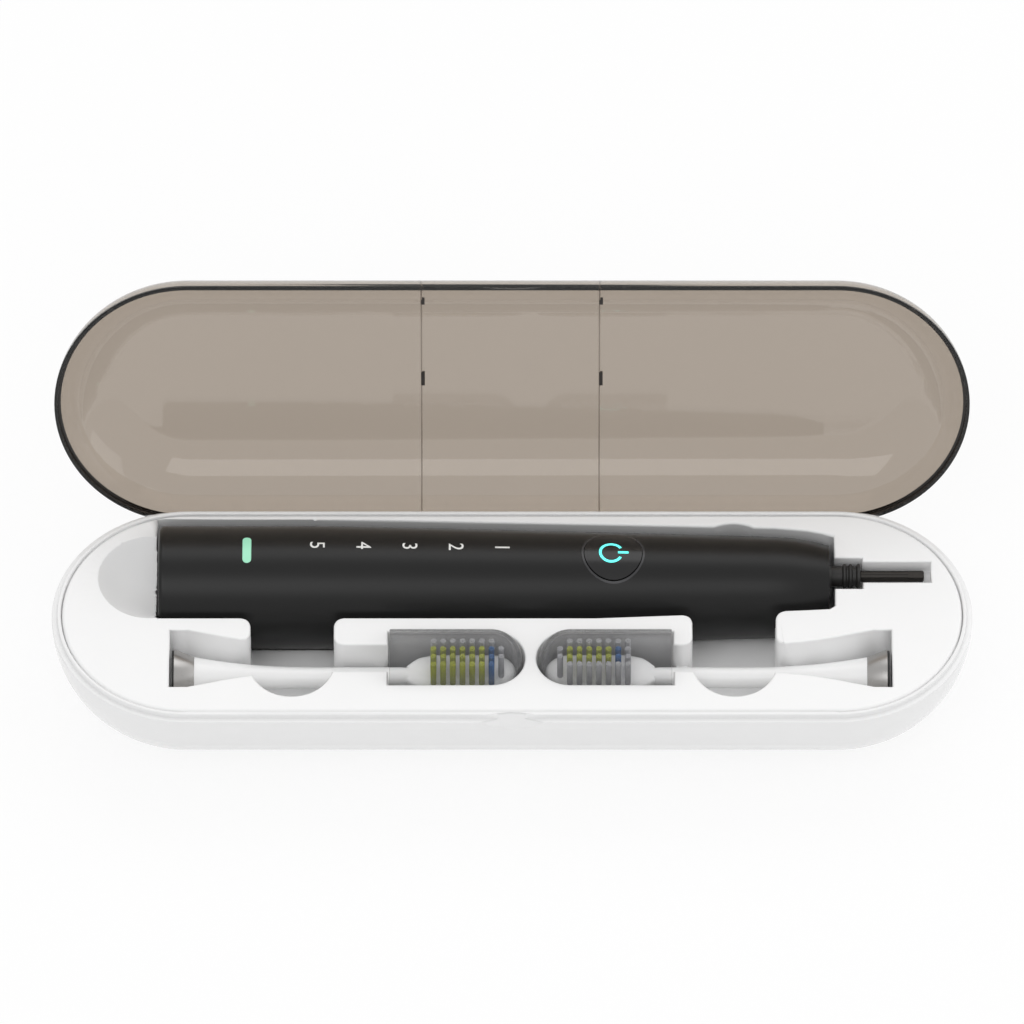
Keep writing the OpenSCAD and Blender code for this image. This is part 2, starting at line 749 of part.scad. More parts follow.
chassis_x0 = tail_x + end_cap_t + spigot_l + 1;
seal_x = nose_x - 9;
motor_x = seal_x - 1.1 - motor_l;
chassis_x1 = motor_x - 1.2;
cell_x = tail_x + cell_at;
post_spots = [light_at + 6, button_at - 44, button_at - 12, chassis_x1 - 8];

module chassis() {
  plate = chassis_z;
  color("gainsboro") difference() {
    union() {
      intersection() {
        union() {
          block([chassis_x0 + 7.5, handle_y - handle_r, plate],
                [chassis_x1, handle_y + handle_r, plate + chassis_t]);
          // ribs that hold the cell under the plate
          for (x = [cell_x + 2, cell_x + battery_l / 2, cell_x + battery_l - 3.4])
            block([x, handle_y - battery_d / 2 - 1.6, cell_z - 3],
                  [x + 1.4, handle_y + battery_d / 2 + 1.6, plate + 0.1]);
          // bulkheads behind the charging core and behind the motor
          rod_x(chassis_x0 + 7.5, chassis_x0 + 8.7, handle_y, handle_z, handle_d);
          block([chassis_x1 - 1.6, handle_y - 9, handle_z - 9],
                [chassis_x1, handle_y + 9, drive_z + 4]);
        }
        grip(handle_wall + 0.2, end_cap_t, handle_l - 1);
      }
      // spindle of the charging core
      rod_x(chassis_x0 + 0.5, chassis_x0 + 7.6, handle_y, handle_z, 3);
      for (x = post_spots, s = [-1, 1])
        translate([x, handle_y + s * (board_w / 2 - 1.8), plate + 0.5])
          cylinder(r = 1, h = board_top - board_t - plate - 0.5);
      // cradle of the motor case
      block([chassis_x1 - 0.1, handle_y - motor_d / 2 - 1, drive_z - motor_d / 2 - 1],
            [chassis_x1 + motor_l + 1.4, handle_y + motor_d / 2 + 1, drive_z - 1]);
    }
    rod_x(cell_x, cell_x + battery_l, handle_y, cell_z, battery_d / 2 + 0.1);
    rod_x(chassis_x1 + 1, chassis_x1 + motor_l + 2, handle_y, drive_z, motor_d / 2 + 0.05);
    rod_x(chassis_x1 - 3, chassis_x1 + 2, handle_y, drive_z, core_d / 2 + 0.7);
  }
}

module battery() {
  color("steelblue") {
    rod_x(cell_x + 0.4, cell_x + battery_l - 1, handle_y, cell_z, battery_d / 2);
    rod_x(cell_x + battery_l - 1.1, cell_x + battery_l - 0.4, handle_y, cell_z, 2.6);
  }
}

module battery_tabs() {
  color("silver") {
    block([cell_x + 0.05, handle_y - 2, cell_z - 4], [cell_x + 0.35, handle_y + 2, chassis_z - 0.05]);
    block([cell_x + battery_l - 0.35, handle_y - 2, cell_z - 4],
          [cell_x + battery_l - 0.05, handle_y + 2, chassis_z - 0.05]);
  }
}

module receiver_core() {
  color("#444444") tube_x(chassis_x0 + 1, chassis_x0 + 6.6, handle_y, handle_z, 8, 3.05);
}

module receiver_coil() {
  color("chocolate") tube_x(chassis_x0 + 1.5, chassis_x0 + 6.1, handle_y, handle_z, 11.2, 8.05);
}

module circuit_board() {
  color("seagreen") intersection() {
    block([chassis_x0 + 8.9, handle_y - board_w / 2, board_top - board_t],
          [chassis_x1 - 3, handle_y + board_w / 2, board_top]);
    grip(handle_wall + 0.3, end_cap_t, handle_l - 1);
  }
}

module board_chips() {
  color("dimgray") for (c = [[light_at + 13.7, 7, 7, 1], [light_at + 23.7, 4, 5, 0.8],
                            [button_at - 12, 4, 6, 1]])
    translate([c[0], handle_y, board_top])
      block([-c[1] / 2, -c[2] / 2, 0], [c[1] / 2, c[2] / 2, c[3]]);
}

module mode_lights() {
  color("honeydew") {
    for (i = [0:modes - 1])
      translate([button_at - 25.5 - i * mode_pitch, handle_y + 4.8, board_top])
        block([-0.8, -0.8, 0], [0.8, 0.8, 0.7]);
    translate([light_at, handle_y, board_top]) block([-0.8, -1.6, 0], [0.8, 1.6, 0.7]);
  }
}

module tact_switch() {
  color("silver") translate([button_at, handle_y, board_top]) {
    block([-3, -3, 0], [3, 3, switch_h - 0.6]);
    translate([0, 0, switch_h - 0.7]) cylinder(r = 1.6, h = 0.7);
  }
}

module power_button() {
  color("#111113") {
    intersection() {
      translate([button_at, handle_y, grip_top - button_t]) cylinder(d = button_d, h = 6);
      grip(-button_proud, 40, handle_l - 20);
    }
    translate([button_at, handle_y, grip_top - button_t - stem_l])
      cylinder(r = 1.5, h = stem_l + 0.1);
  }
}

module button_ring() {
  color("dimgray") intersection() {
    translate([button_at, handle_y, grip_top - 2.6]) difference() {
      cylinder(r = bore_r - 0.02, h = 6);
      translate([0, 0, -1]) cylinder(r = bore_r - button_ring_w, h = 8);
    }
    grip(-0.05, 40, handle_l - 20);
  }
}

module charge_lens() {
  color("aquamarine") {
    intersection() {
      pill(light_at, handle_y, light_w - 0.1, light_l - 0.1, handle_z, handle_z + 2 * handle_r);
      grip(0, 2, 60);
      block([light_at - 3, handle_y - 6, handle_z + handle_r - handle_wall - 0.9],
            [light_at + 3, handle_y + 6, handle_z + handle_d]);
    }
    block([light_at - 0.7, handle_y - 1.5, board_top + 0.8],
          [light_at + 0.7, handle_y + 1.5, handle_z + handle_r - handle_wall - 0.7]);
  }
}

// The drive ----------------------------------------------------------------------------

module motor_case() {
  color("silver") difference() {
    rod_x(motor_x, motor_x + motor_l, handle_y, drive_z, motor_d / 2);
    rod_x(motor_x + 0.6, motor_x + motor_l - 0.6, handle_y, drive_z, motor_d / 2 - 0.5);
    rod_x(motor_x - 1, motor_x + motor_l + 1, handle_y, drive_z, 2.6);
  }
}

module stator_coil() {
  color("chocolate")
    tube_x(motor_x + 4, motor_x + motor_l - 4, handle_y, drive_z, motor_d / 2 - 0.55, 3.4);
}

module motor_bearings() {
  color("goldenrod") for (x = [motor_x - 0.2, motor_x + motor_l - 2])
    tube_x(x, x + 2.2, handle_y, drive_z, 2.55, core_d / 2 + shaft_fit);
}

module shaft_seal() {
  color("#333333") difference() {
    union() {
      rod_x(seal_x, nose_x - 6.4, handle_y, drive_z, 3.4);
      rod_x(nose_x - 6.5, nose_x - 0.6, handle_y, drive_z, 2.35);
    }
    rod_x(nose_x - 10, nose_x + 1, handle_y, drive_z, core_d / 2 + 0.1);
  }
}

module nose_collar() {
  r = collar_d / 2;
  core = r - 0.5;
  u = collar_l / 12;
  color("#18181a") difference() {
    spin_x(nose_x, handle_y, drive_z, [
      [0, 0], [r, 0], [core, 0.6], [core, 5 * u], [r, 5.5 * u], [r, 6.2 * u], [core, 6.7 * u],
      [core, 7.3 * u], [r, 7.8 * u], [r, 8.5 * u], [core, 9 * u], [core, 10.2 * u],
      [r, 10.8 * u], [r, 11.7 * u], [core, 12 * u], [0, 12 * u]]);
    rod_x(nose_x - 1, nose_x + collar_l + 1, handle_y, drive_z, core_d / 2 + 0.1);
  }
}

module drive_shaft() {
  r = shaft_d / 2;
  core = core_d / 2;
  step = nose_x + collar_l + 0.1;
  color("#2a2a2c") difference() {
    spin_x(0, handle_y, drive_z,
           [[0, motor_x - 1.2], [core, motor_x - 1.2], [core, step], [r, step],
            [r, shaft_x - 0.3], [r - 0.3, shaft_x], [0, shaft_x]]);
    // flat that keys the brush head
    block([shaft_x - 3.5, handle_y - 3, drive_z + r - 0.5], [shaft_x + 1, handle_y + 3, drive_z + 3]);
  }
}

module rotor_magnet() {
  color("slategray")
    tube_x(motor_x + 5, motor_x + motor_l - 5, handle_y, drive_z, 3, core_d / 2 + eps);
}

// The brush heads ------------------------------------------------------------------------
// Each is drawn with its nose at x = 0 and its ring towards -X.

head_z = tray_z - 7.3;
plate_x1 = -1.6;
seal_t = 0.5;
ring_end = max(ring_half - ring_taper, collar_d / 2 + 1.5);
spigot_r = ring_end - 0.7;

module head_body() {
  x0 = -head_l + seal_t;
  xr = x0 + ring_l;
  n = 8;
  flare = [for (i = [0:n]) [flare_r(flare_l * i / n), xr + flare_l * i / n]];
  blend_x = plate_x1 - plate_l;
  color("white") difference() {
    union() {
      spin_x(0, 0, head_z,
             concat([[0, x0], [spigot_r, x0], [spigot_r, xr]], flare,
                    [[neck_d / 2, blend_x - 1], [neck_d / 2 - 0.5, blend_x + 4], [0, blend_x + 4]]));
      translate([0, 0, head_z - plate_t / 2]) linear_extrude(plate_t) {
        w = plate_w / 2;
        translate([plate_x1 - w, 0]) circle(r = w);
        polygon([[plate_x1 - w, -w], [plate_x1 - w, w], [blend_x + 6, w], [blend_x + 2.5, w - 0.9],
                 [blend_x, neck_d / 2 - 0.3], [blend_x, -neck_d / 2 + 0.3],
                 [blend_x + 2.5, -w + 0.9], [blend_x + 6, -w]]);
      }
    }
    rod_x(-head_l - 1, -head_l + collar_l + 0.3, 0, head_z, collar_d / 2 + 0.2);
    rod_x(-head_l, -head_l + collar_l + 7.3, 0, head_z, 2.2);
    rod_x(-head_l, -head_l + shaft_l + 0.6, 0, head_z, shaft_d / 2 + 0.3);
  }
}

module head_ring() {
  x0 = -head_l + seal_t;
  color("silver") difference() {
    spin_x(0, 0, head_z, [[0, x0], [ring_half, x0], [ring_end, x0 + ring_l], [0, x0 + ring_l]]);
    rod_x(x0 - 1, x0 + ring_l + 1, 0, head_z, spigot_r + 0.02);
  }
}

module head_seal() {
  color("#222222") tube_x(-head_l, -head_l + seal_t, 0, head_z, ring_half - 0.3, collar_d / 2 + 0.25);
}

module head_socket() {
  x0 = -head_l + collar_l + 0.3;
  color("gainsboro") tube_x(x0, x0 + 7, 0, head_z, 2.18, shaft_d / 2 + 0.03);
}

columns = 8;
rows = 4;
tuft_x0 = plate_x1 - 3.4;

// Tufts of the columns from c0 to c1, counted from the nose
module tufts(c0, c1) {
  for (c = [c0:c1], r = [0:rows - 1])
    if (c > 0 || (r > 0 && r < rows - 1))
      translate([tuft_x0 - c * tuft_pitch, (r - (rows - 1) / 2) * tuft_pitch, head_z + plate_t / 2])
        cylinder(d = tuft_d, h = bristle_l, $fn = 16);
}

module cap() {
  color("gainsboro", 0.5) difference() {
    cap_form(cap_w / 2, 0, 0);
    cap_form(cap_w / 2 - cap_wall, cap_wall, 1);
  }
}

// The cap's solid with its nose a distance back from x = 0, run on past its open sides
module cap_form(r, back, over) {
  xn = -back - r;
  x0 = -cap_l - over;
  z0 = cap_low - over;
  rod_x(x0, xn, 0, cap_z, r);
  translate([xn, 0, cap_z]) sphere(r = r);
  translate([xn, 0, z0]) cylinder(r = r, h = cap_z - z0);
  block([x0, -r, z0], [xn, r, cap_z]);
}

module at_left() {
  translate([heads_x - head_gap / 2, head_y, 0]) children();
}

module at_right() {
  translate([heads_x + head_gap / 2, head_y, 0]) mirror([1, 0, 0]) children();
}

module left_head() { at_left() head_body(); }
module left_ring() { at_left() head_ring(); }
module left_seal() { at_left() head_seal(); }
module left_socket() { at_left() head_socket(); }
module left_tufts_yellow() { color("yellowgreen") at_left() tufts(2, columns - 1); }
module left_tufts_blue() { color("steelblue") at_left() tufts(1, 1); }
module left_tufts_clear() { color("gainsboro") at_left() tufts(0, 0); }
module left_cap() { at_left() cap(); }

module right_head() { at_right() head_body(); }
module right_ring() { at_right() head_ring(); }
module right_seal() { at_right() head_seal(); }
module right_socket() { at_right() head_socket(); }
module right_tufts_yellow() { color("yellowgreen") at_right() tufts(1, columns - 3); }
module right_tufts_blue() { color("steelblue") at_right() tufts(columns - 2, columns - 2); }
module right_tufts_clear() {
  color("gainsboro") at_right() {
    tufts(0, 0);
    tufts(columns - 1, columns - 1);
  }
}
module right_cap() { at_right() cap(); }

base_shell();
tray();
case_feet();
hinge_pins();
transmit_coil();
transmit_ferrite();
coil_leads();
charger_board();
charger_parts();
charging_inlet();
board_screws();
lid();
handle_shell();
end_cap();
end_seal();
chassis();
battery();
battery_tabs();
receiver_coil();
receiver_core();
circuit_board();
board_chips();
mode_lights();
tact_switch();
button_ring();
charge_lens();
motor_case();
stator_coil();
motor_bearings();
shaft_seal();
nose_collar();
drive_shaft();
rotor_magnet();
power_button();
left_head();
left_ring();
left_seal();
left_socket();
left_tufts_yellow();
left_tufts_blue();
left_tufts_clear();
left_cap();
right_head();
right_ring();
right_seal();
right_socket();
right_tufts_yellow();
right_tufts_blue();
right_tufts_clear();
right_cap();
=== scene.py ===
"""Dresses a sonic toothbrush with two capped brush heads in a hinged charging case.

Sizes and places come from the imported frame, in metres. Each sub-assembly is a class that builds
its own pieces, and each finish is a small frozen dataclass that writes its own shader nodes.
"""
import json
import logging
import math
import random
from collections.abc import Callable, Iterable
from dataclasses import dataclass
from enum import Enum

import bmesh
import bpy
from mathutils import Matrix, Vector


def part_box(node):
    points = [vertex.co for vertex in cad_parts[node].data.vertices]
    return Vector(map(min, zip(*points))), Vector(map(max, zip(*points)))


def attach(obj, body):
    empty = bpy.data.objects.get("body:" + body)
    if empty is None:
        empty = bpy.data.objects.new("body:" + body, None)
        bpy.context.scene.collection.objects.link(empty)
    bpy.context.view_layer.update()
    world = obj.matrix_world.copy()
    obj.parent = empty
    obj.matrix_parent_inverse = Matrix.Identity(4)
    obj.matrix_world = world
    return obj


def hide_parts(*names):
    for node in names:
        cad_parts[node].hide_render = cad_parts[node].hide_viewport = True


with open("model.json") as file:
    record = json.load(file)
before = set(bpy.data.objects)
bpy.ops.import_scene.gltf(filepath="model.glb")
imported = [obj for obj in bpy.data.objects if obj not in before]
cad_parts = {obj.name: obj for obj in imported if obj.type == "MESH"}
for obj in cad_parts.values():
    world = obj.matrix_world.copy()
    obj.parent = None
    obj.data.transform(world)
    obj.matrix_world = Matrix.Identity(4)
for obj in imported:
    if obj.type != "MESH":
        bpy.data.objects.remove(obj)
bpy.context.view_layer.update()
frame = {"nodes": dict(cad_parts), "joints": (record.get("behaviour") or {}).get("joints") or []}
MM = 0.001
LOG = logging.getLogger("brush_case")

Colour = tuple[float, float, float, float]
Point = tuple[float, float]
Edge = bmesh.types.BMEdge
Object = bpy.types.Object
WHITE = (1.0, 1.0, 1.0, 1.0)


# Shader nodes ---------------------------------------------------------------------------------


def paint(red: int, green: int, blue: int) -> Colour:
    """Turns a colour of 0 to 255 display steps into the linear colour of a socket."""
    steps = [value / 255 for value in (red, green, blue)]
    linear = [s / 12.92 if s <= 0.04045 else ((s + 0.055) / 1.055) ** 2.4 for s in steps]
    return (linear[0], linear[1], linear[2], 1.0)


def shade(colour: Colour, factor: float) -> Colour:
    """Makes a colour lighter or darker by a factor."""
    return tuple(min(1.0, part * factor) for part in colour[:3]) + (1.0,)


def operator(operation: str, swapped: bool = False) -> Callable[..., "Wire"]:
    """Makes an arithmetic operator that adds a Math node.

    Args:
        operation: the node's operation.
        swapped: whether the wire is the second input.

    Returns:
        The operator.
    """
    def apply(wire: "Wire", other: "Wire | float" = 0.0) -> "Wire":
        """Adds the node and hands back its result."""
        inputs = (other, wire) if swapped else (wire, other)
        return wire.graph.add("ShaderNodeMath", {"operation": operation}, dict(enumerate(inputs)))

    return apply


class Wire:
    """One output in a shader graph; arithmetic on it adds Math nodes."""

    __add__ = operator("ADD")
    __radd__ = operator("ADD", swapped=True)
    __rsub__ = operator("SUBTRACT", swapped=True)
    __mul__ = operator("MULTIPLY")
    __rmul__ = operator("MULTIPLY", swapped=True)
    __pow__ = operator("POWER")
    above = operator("GREATER_THAN")
    sine = operator("SINE")

    def __init__(self, graph: "Graph", socket: bpy.types.NodeSocket) -> None:
        """Keeps the graph that the socket belongs to."""
        self.graph = graph
        self.socket = socket

    def kept(self) -> "Wire":
        """Keeps the value between 0 and 1."""
        return self.graph.add("ShaderNodeClamp", {}, {"Value": self})


class Graph:
    """The shader graph of one finish or of the room."""

    def __init__(self, owner: bpy.types.Material | bpy.types.World) -> None:
        """Empties the owner's node tree."""
        owner.use_nodes = True
        self.tree = owner.node_tree
        self.tree.nodes.clear()

    def add(self, kind: str, settings: dict[str, object], sockets: dict[str | int, object],
            output: str | int = 0) -> Wire:
        """Adds a node.

        Args:
            kind: the node's type.
            settings: its properties, set first.
            sockets: the value or wire of each input.
            output: the output that is handed back.

        Returns:
            The chosen output.
        """
        node = self.tree.nodes.new(kind)
        for name, value in settings.items():
            setattr(node, name, value)
        for name, value in sockets.items():
            if isinstance(value, Wire):
                self.tree.links.new(value.socket, node.inputs[name])
            else:
                node.inputs[name].default_value = value
        return Wire(self, node.outputs[output])

    def place(self) -> Wire:
        """Gives the place on the piece in metres."""
        return self.add("ShaderNodeTexCoord", {}, {}, "Object")

    def along(self, axis: str) -> Wire:
        """Gives the place along one axis, in metres."""
        return self.add("ShaderNodeSeparateXYZ", {}, {0: self.place()}, axis)

    def noise(self, size: float, detail: float = 2.0, stretch: Point = (1.0, 1.0)) -> Wire:
        """Adds a cloud of a given grain.

        Args:
            size: the size of one cloud in metres.
            detail: how many finer layers it has.
            stretch: how much longer the clouds are along Y and along Z than along X.

        Returns:
            The cloud's value from 0 to 1.
        """
        scale = (1.0, 1.0 / stretch[0], 1.0 / stretch[1])
        spot = self.add("ShaderNodeMapping", {}, {"Vector": self.place(), "Scale": scale})
        inputs = {"Vector": spot, "Scale": 1.0 / size, "Detail": detail}
        return self.add("ShaderNodeTexNoise", {}, inputs)

    def blend(self, factor: "Wire | float", low: "Wire | Colour", high: "Wire | Colour") -> Wire:
        """Mixes two colours, from 0 for the first to 1 for the second."""
        return self.add("ShaderNodeMix", {"data_type": "RGBA"}, {0: factor, 6: low, 7: high}, 2)

    def relief(self, height: Wire, depth: float) -> Wire:
        """Turns a height of 0 to 1 into the normal of a relief of a depth in metres."""
        inputs = {"Height": height, "Distance": depth, "Strength": 1.0}
        return self.add("ShaderNodeBump", {}, inputs)

    def facing(self, blend: float) -> Wire:
        """Gives the edge-on share of a surface."""
        return self.add("ShaderNodeLayerWeight", {}, {"Blend": blend}, "Facing")

    def ray(self, kind: str) -> Wire:
        """Gives 1 for a ray of one kind, and 0 for any other."""
        return self.add("ShaderNodeLightPath", {}, {}, f"Is {kind} Ray")

    def surface(self, sockets: dict[str, object]) -> Wire:
        """Adds the main shader, with the inputs that differ from a plain plastic."""
        return self.add("ShaderNodeBsdfPrincipled", {}, sockets)

    def close(self, shader: Wire, kind: str = "Material") -> None:
        """Wires a shader to the output of the material or of the world."""
        end = self.tree.nodes.new(f"ShaderNodeOutput{kind}")
        self.tree.links.new(shader.socket, end.inputs["Surface"])


# Finishes -------------------------------------------------------------------------------------


@dataclass(frozen=True)
class Finish:
    """A finish that is made once and put on any number of pieces."""

    name: str

    def shader(self, graph: Graph) -> Wire:
        """Writes the finish's nodes; each kind of finish has its own."""
        raise NotImplementedError(self.name)

    def material(self) -> bpy.types.Material:
        """Gives the finish's material, made at its first use."""
        title = f"{self.name}_finish"
        made = bpy.data.materials.get(title)
        if made is None:
            made = bpy.data.materials.new(title)
            graph = Graph(made)
            graph.close(self.shader(graph))
        return made

    def cover(self, obj: Object) -> None:
        """Puts the finish on the whole of an object."""
        if not obj.material_slots:
            obj.data.materials.append(self.material())
        for slot in obj.material_slots:
            slot.material = self.material()


@dataclass(frozen=True)
class Moulded(Finish):
    """Moulded plastic or rubber with a faint cloudiness and a fine spark-eroded grain."""

    colour: Colour
    roughness: float = 0.35
    mottle: float = 0.03
    grain: float = 0.35 * MM
    depth: float = 0.004 * MM
    coat: float = 0.0
    coat_roughness: float = 0.05
    specular: float = 0.5
    bleed: float = 0.0

    def shader(self, graph: Graph) -> Wire:
        """Mixes two near tones by a cloud and roughens the gloss with the grain."""
        cloud = graph.noise(14 * MM, 3.0)
        grain = graph.noise(self.grain, 2.0)
        low = shade(self.colour, 1 - self.mottle)
        high = shade(self.colour, 1 + self.mottle)
        return graph.surface({
            "Base Color": graph.blend(cloud, low, high),
            "Roughness": self.roughness * (0.92 + 0.16 * grain),
            "Normal": graph.relief(grain, self.depth),
            "Coat Weight": self.coat,
            "Coat Roughness": self.coat_roughness,
            "Specular IOR Level": self.specular,
            "Subsurface Weight": self.bleed,
            "Subsurface Radius": (2 * MM, 2 * MM, 2 * MM),
            "Subsurface Scale": 1.0,
        })


@dataclass(frozen=True)
class Clear(Finish):
    """Clear or smoked plastic: a tinted veil that thickens edge on, its edges darkened by painted
    shade.
    """

    colour: Colour
    edge_shade: Colour
    body: float = 0.3
    edge: float = 0.9
    sharpness: float = 3.0
    roughness: float = 0.06
    specular: float = 0.5

    def shader(self, graph: Graph) -> Wire:
        """Lets light through the wall's face and paints its edges dark."""
        # Painted shade: edge-on faces turn near black, standing in for the dark lines that
        # refraction and internal reflection draw at the edges.
        rim = graph.facing(0.5) ** self.sharpness
        streak = graph.noise(30 * MM, 1.0)
        veil = self.body + (self.edge - self.body) * rim
        return graph.surface({
            "Base Color": graph.blend(rim, self.colour, self.edge_shade),
            "Roughness": self.roughness * (0.9 + 0.2 * streak),
            "Alpha": (veil * (0.98 + 0.04 * streak)).kept(),
            "Specular IOR Level": self.specular,
            "IOR": 1.49,
        })


@dataclass(frozen=True)
class Glass(Finish):
    """Clear moulded plastic that bends light, with faint flow marks."""

    colour: Colour
    roughness: float = 0.02
    bend: float = 1.49
    wave: float = 0.003 * MM

    def shader(self, graph: Graph) -> Wire:
        """Lets light through and waves the surface a little."""
        flow = graph.noise(9 * MM, 1.0)
        return graph.surface({
            "Base Color": graph.blend(flow, shade(self.colour, 0.99), self.colour),
            "Roughness": self.roughness * (0.9 + 0.2 * flow),
            "Normal": graph.relief(flow, self.wave),
            "Transmission Weight": 1.0,
            "IOR": self.bend,
        })


@dataclass(frozen=True)
class Metal(Finish):
    """Brushed or turned metal whose fine lines run round the X axis."""

    colour: Colour
    roughness: float = 0.3
    line: float = 0.05 * MM
    lines_per_cloud: float = 60.0
    depth: float = 0.002 * MM

    def shader(self, graph: Graph) -> Wire:
        """Draws long thin lines across X and lets them break up the gloss."""
        lines = graph.noise(self.line, 2.0, (self.lines_per_cloud, self.lines_per_cloud))
        cloud = graph.noise(6 * MM, 2.0)
        return graph.surface({
            "Base Color": graph.blend(cloud, shade(self.colour, 0.94), shade(self.colour, 1.04)),
            "Metallic": 1.0,
            "Roughness": self.roughness * (0.8 + 0.4 * lines),
            "Normal": graph.relief(lines, self.depth),
        })


@dataclass(frozen=True)
class Winding(Finish):
    """Lacquered copper wire laid in turns."""

    colour: Colour
    pitch: float = 0.3 * MM
    depth: float = 0.05 * MM

    def shader(self, graph: Graph) -> Wire:
        """Bands the surface in turns of wire along X, with painted shade in the grooves between
        turns.
        """
        turn = 0.5 + 0.5 * (graph.along("X") * (math.tau / self.pitch)).sine()
        return graph.surface({
            # Painted shade: the grooves between turns are darkened to under half the copper's
            # colour.
            "Base Color": graph.blend(turn, shade(self.colour, 0.45), self.colour),
            "Metallic": 0.9,
            "Roughness": 0.25 + 0.2 * turn,
            "Normal": graph.relief(turn, self.depth),
        })


@dataclass(frozen=True)
class Laminate(Finish):
    """A lacquered circuit board with a faint pattern of tracks."""

    colour: Colour
    track: float = 1.1 * MM

    def shader(self, graph: Graph) -> Wire:
        """Lights the lacquer where a track lies under it."""
        tracks = (graph.along("Y") * (math.tau / self.track)).sine().above(0.35)
        weave = graph.noise(0.5 * MM, 3.0)
        tone = graph.blend(weave, shade(self.colour, 0.85), shade(self.colour, 1.1))
        return graph.surface({
            "Base Color": graph.blend(tracks * 0.6, tone, shade(self.colour, 1.9)),
            "Roughness": 0.25 + 0.15 * weave,
            "Normal": graph.relief(tracks, 0.03 * MM),
        })


@dataclass(frozen=True)
class Bristle(Finish):
    """Nylon bristles, dyed in the rows between two places across the head, else clear."""

    colour: Colour
    front: float
    rear: float
    clear: Colour = paint(190, 190, 193)

    def shader(self, graph: Graph) -> Wire:
        """Leaves the dye out of the rows beyond the two places."""
        across = graph.along("Y")
        plain = (across.above(self.rear) + (1 - across.above(self.front))).kept()
        streak = graph.noise(0.3 * MM, 2.0, (1.0, 12.0))
        dye = graph.blend(streak, shade(self.colour, 0.72), shade(self.colour, 1.15))
        return graph.surface({
            "Base Color": graph.blend(plain, dye, self.clear),
            "Roughness": 0.3 + 0.15 * streak,
            "Specular IOR Level": 0.6,
            "Alpha": 1 - 0.25 * plain,
        })


@dataclass(frozen=True)
class Lit(Finish):
    """A light that glows faintly in its own colour; on the printed power mark this is a painted
    glow.
    """

    colour: Colour
    glow: float = 0.6

    def shader(self, graph: Graph) -> Wire:
        """Adds a soft light that is a little uneven."""
        cloud = graph.noise(1.5 * MM, 1.0)
        tone = graph.blend(cloud, shade(self.colour, 0.92), self.colour)
        return graph.surface({
            "Base Color": tone,
            "Emission Color": tone,
            "Emission Strength": self.glow,
            "Roughness": 0.3 + 0.1 * cloud,
        })


# Mesh work ------------------------------------------------------------------------------------


def bend(before: Vector, corner: Vector, after: Vector, t: float) -> Vector:
    """Gives the point at a share t of the curve that cuts a corner."""
    return before * (1 - t) ** 2 + corner * 2 * t * (1 - t) + after * t * t


def rounded(points: Iterable[tuple[float, float, float]], steps: int = 4) -> list[Point]:
    """Rounds the corners of an open outline.

    Args:
        points: across, up and the corner's radius, for each corner.
        steps: the steps of each round corner.

    Returns:
        The outline's points.
    """
    corners = [(Vector(point[:2]), point[2]) for point in points]
    outline = [tuple(corners[0][0])]
    for (before, _), (corner, radius), (after, _) in zip(corners, corners[1:], corners[2:]):
        if radius <= 0:
            outline.append(tuple(corner))
            continue
        start = corner + (before - corner).normalized() * radius
        end = corner + (after - corner).normalized() * radius
        outline += [tuple(bend(start, corner, end, i / steps)) for i in range(steps + 1)]
    outline.append(tuple(corners[-1][0]))
    return outline


def quarter(centre: Point, radii: Point, start: float, end: float, steps: int) -> list[Point]:
    """Gives points on an ellipse, its angle counted from straight down (0) to straight out (90).

    Args:
        centre: the ellipse's centre.
        radii: its half-width and half-height.
        start: the first angle in degrees.
        end: the last angle in degrees.
        steps: the number of steps.

    Returns:
        The points.
    """
    angles = [math.radians(start + (end - start) * i / steps) for i in range(steps + 1)]
    return [(centre[0] + radii[0] * math.sin(a), centre[1] - radii[1] * math.cos(a))
            for a in angles]


class Cut(Enum):
    """How one solid changes another."""

    REMOVE = "DIFFERENCE"
    JOIN = "UNION"
    KEEP = "INTERSECT"


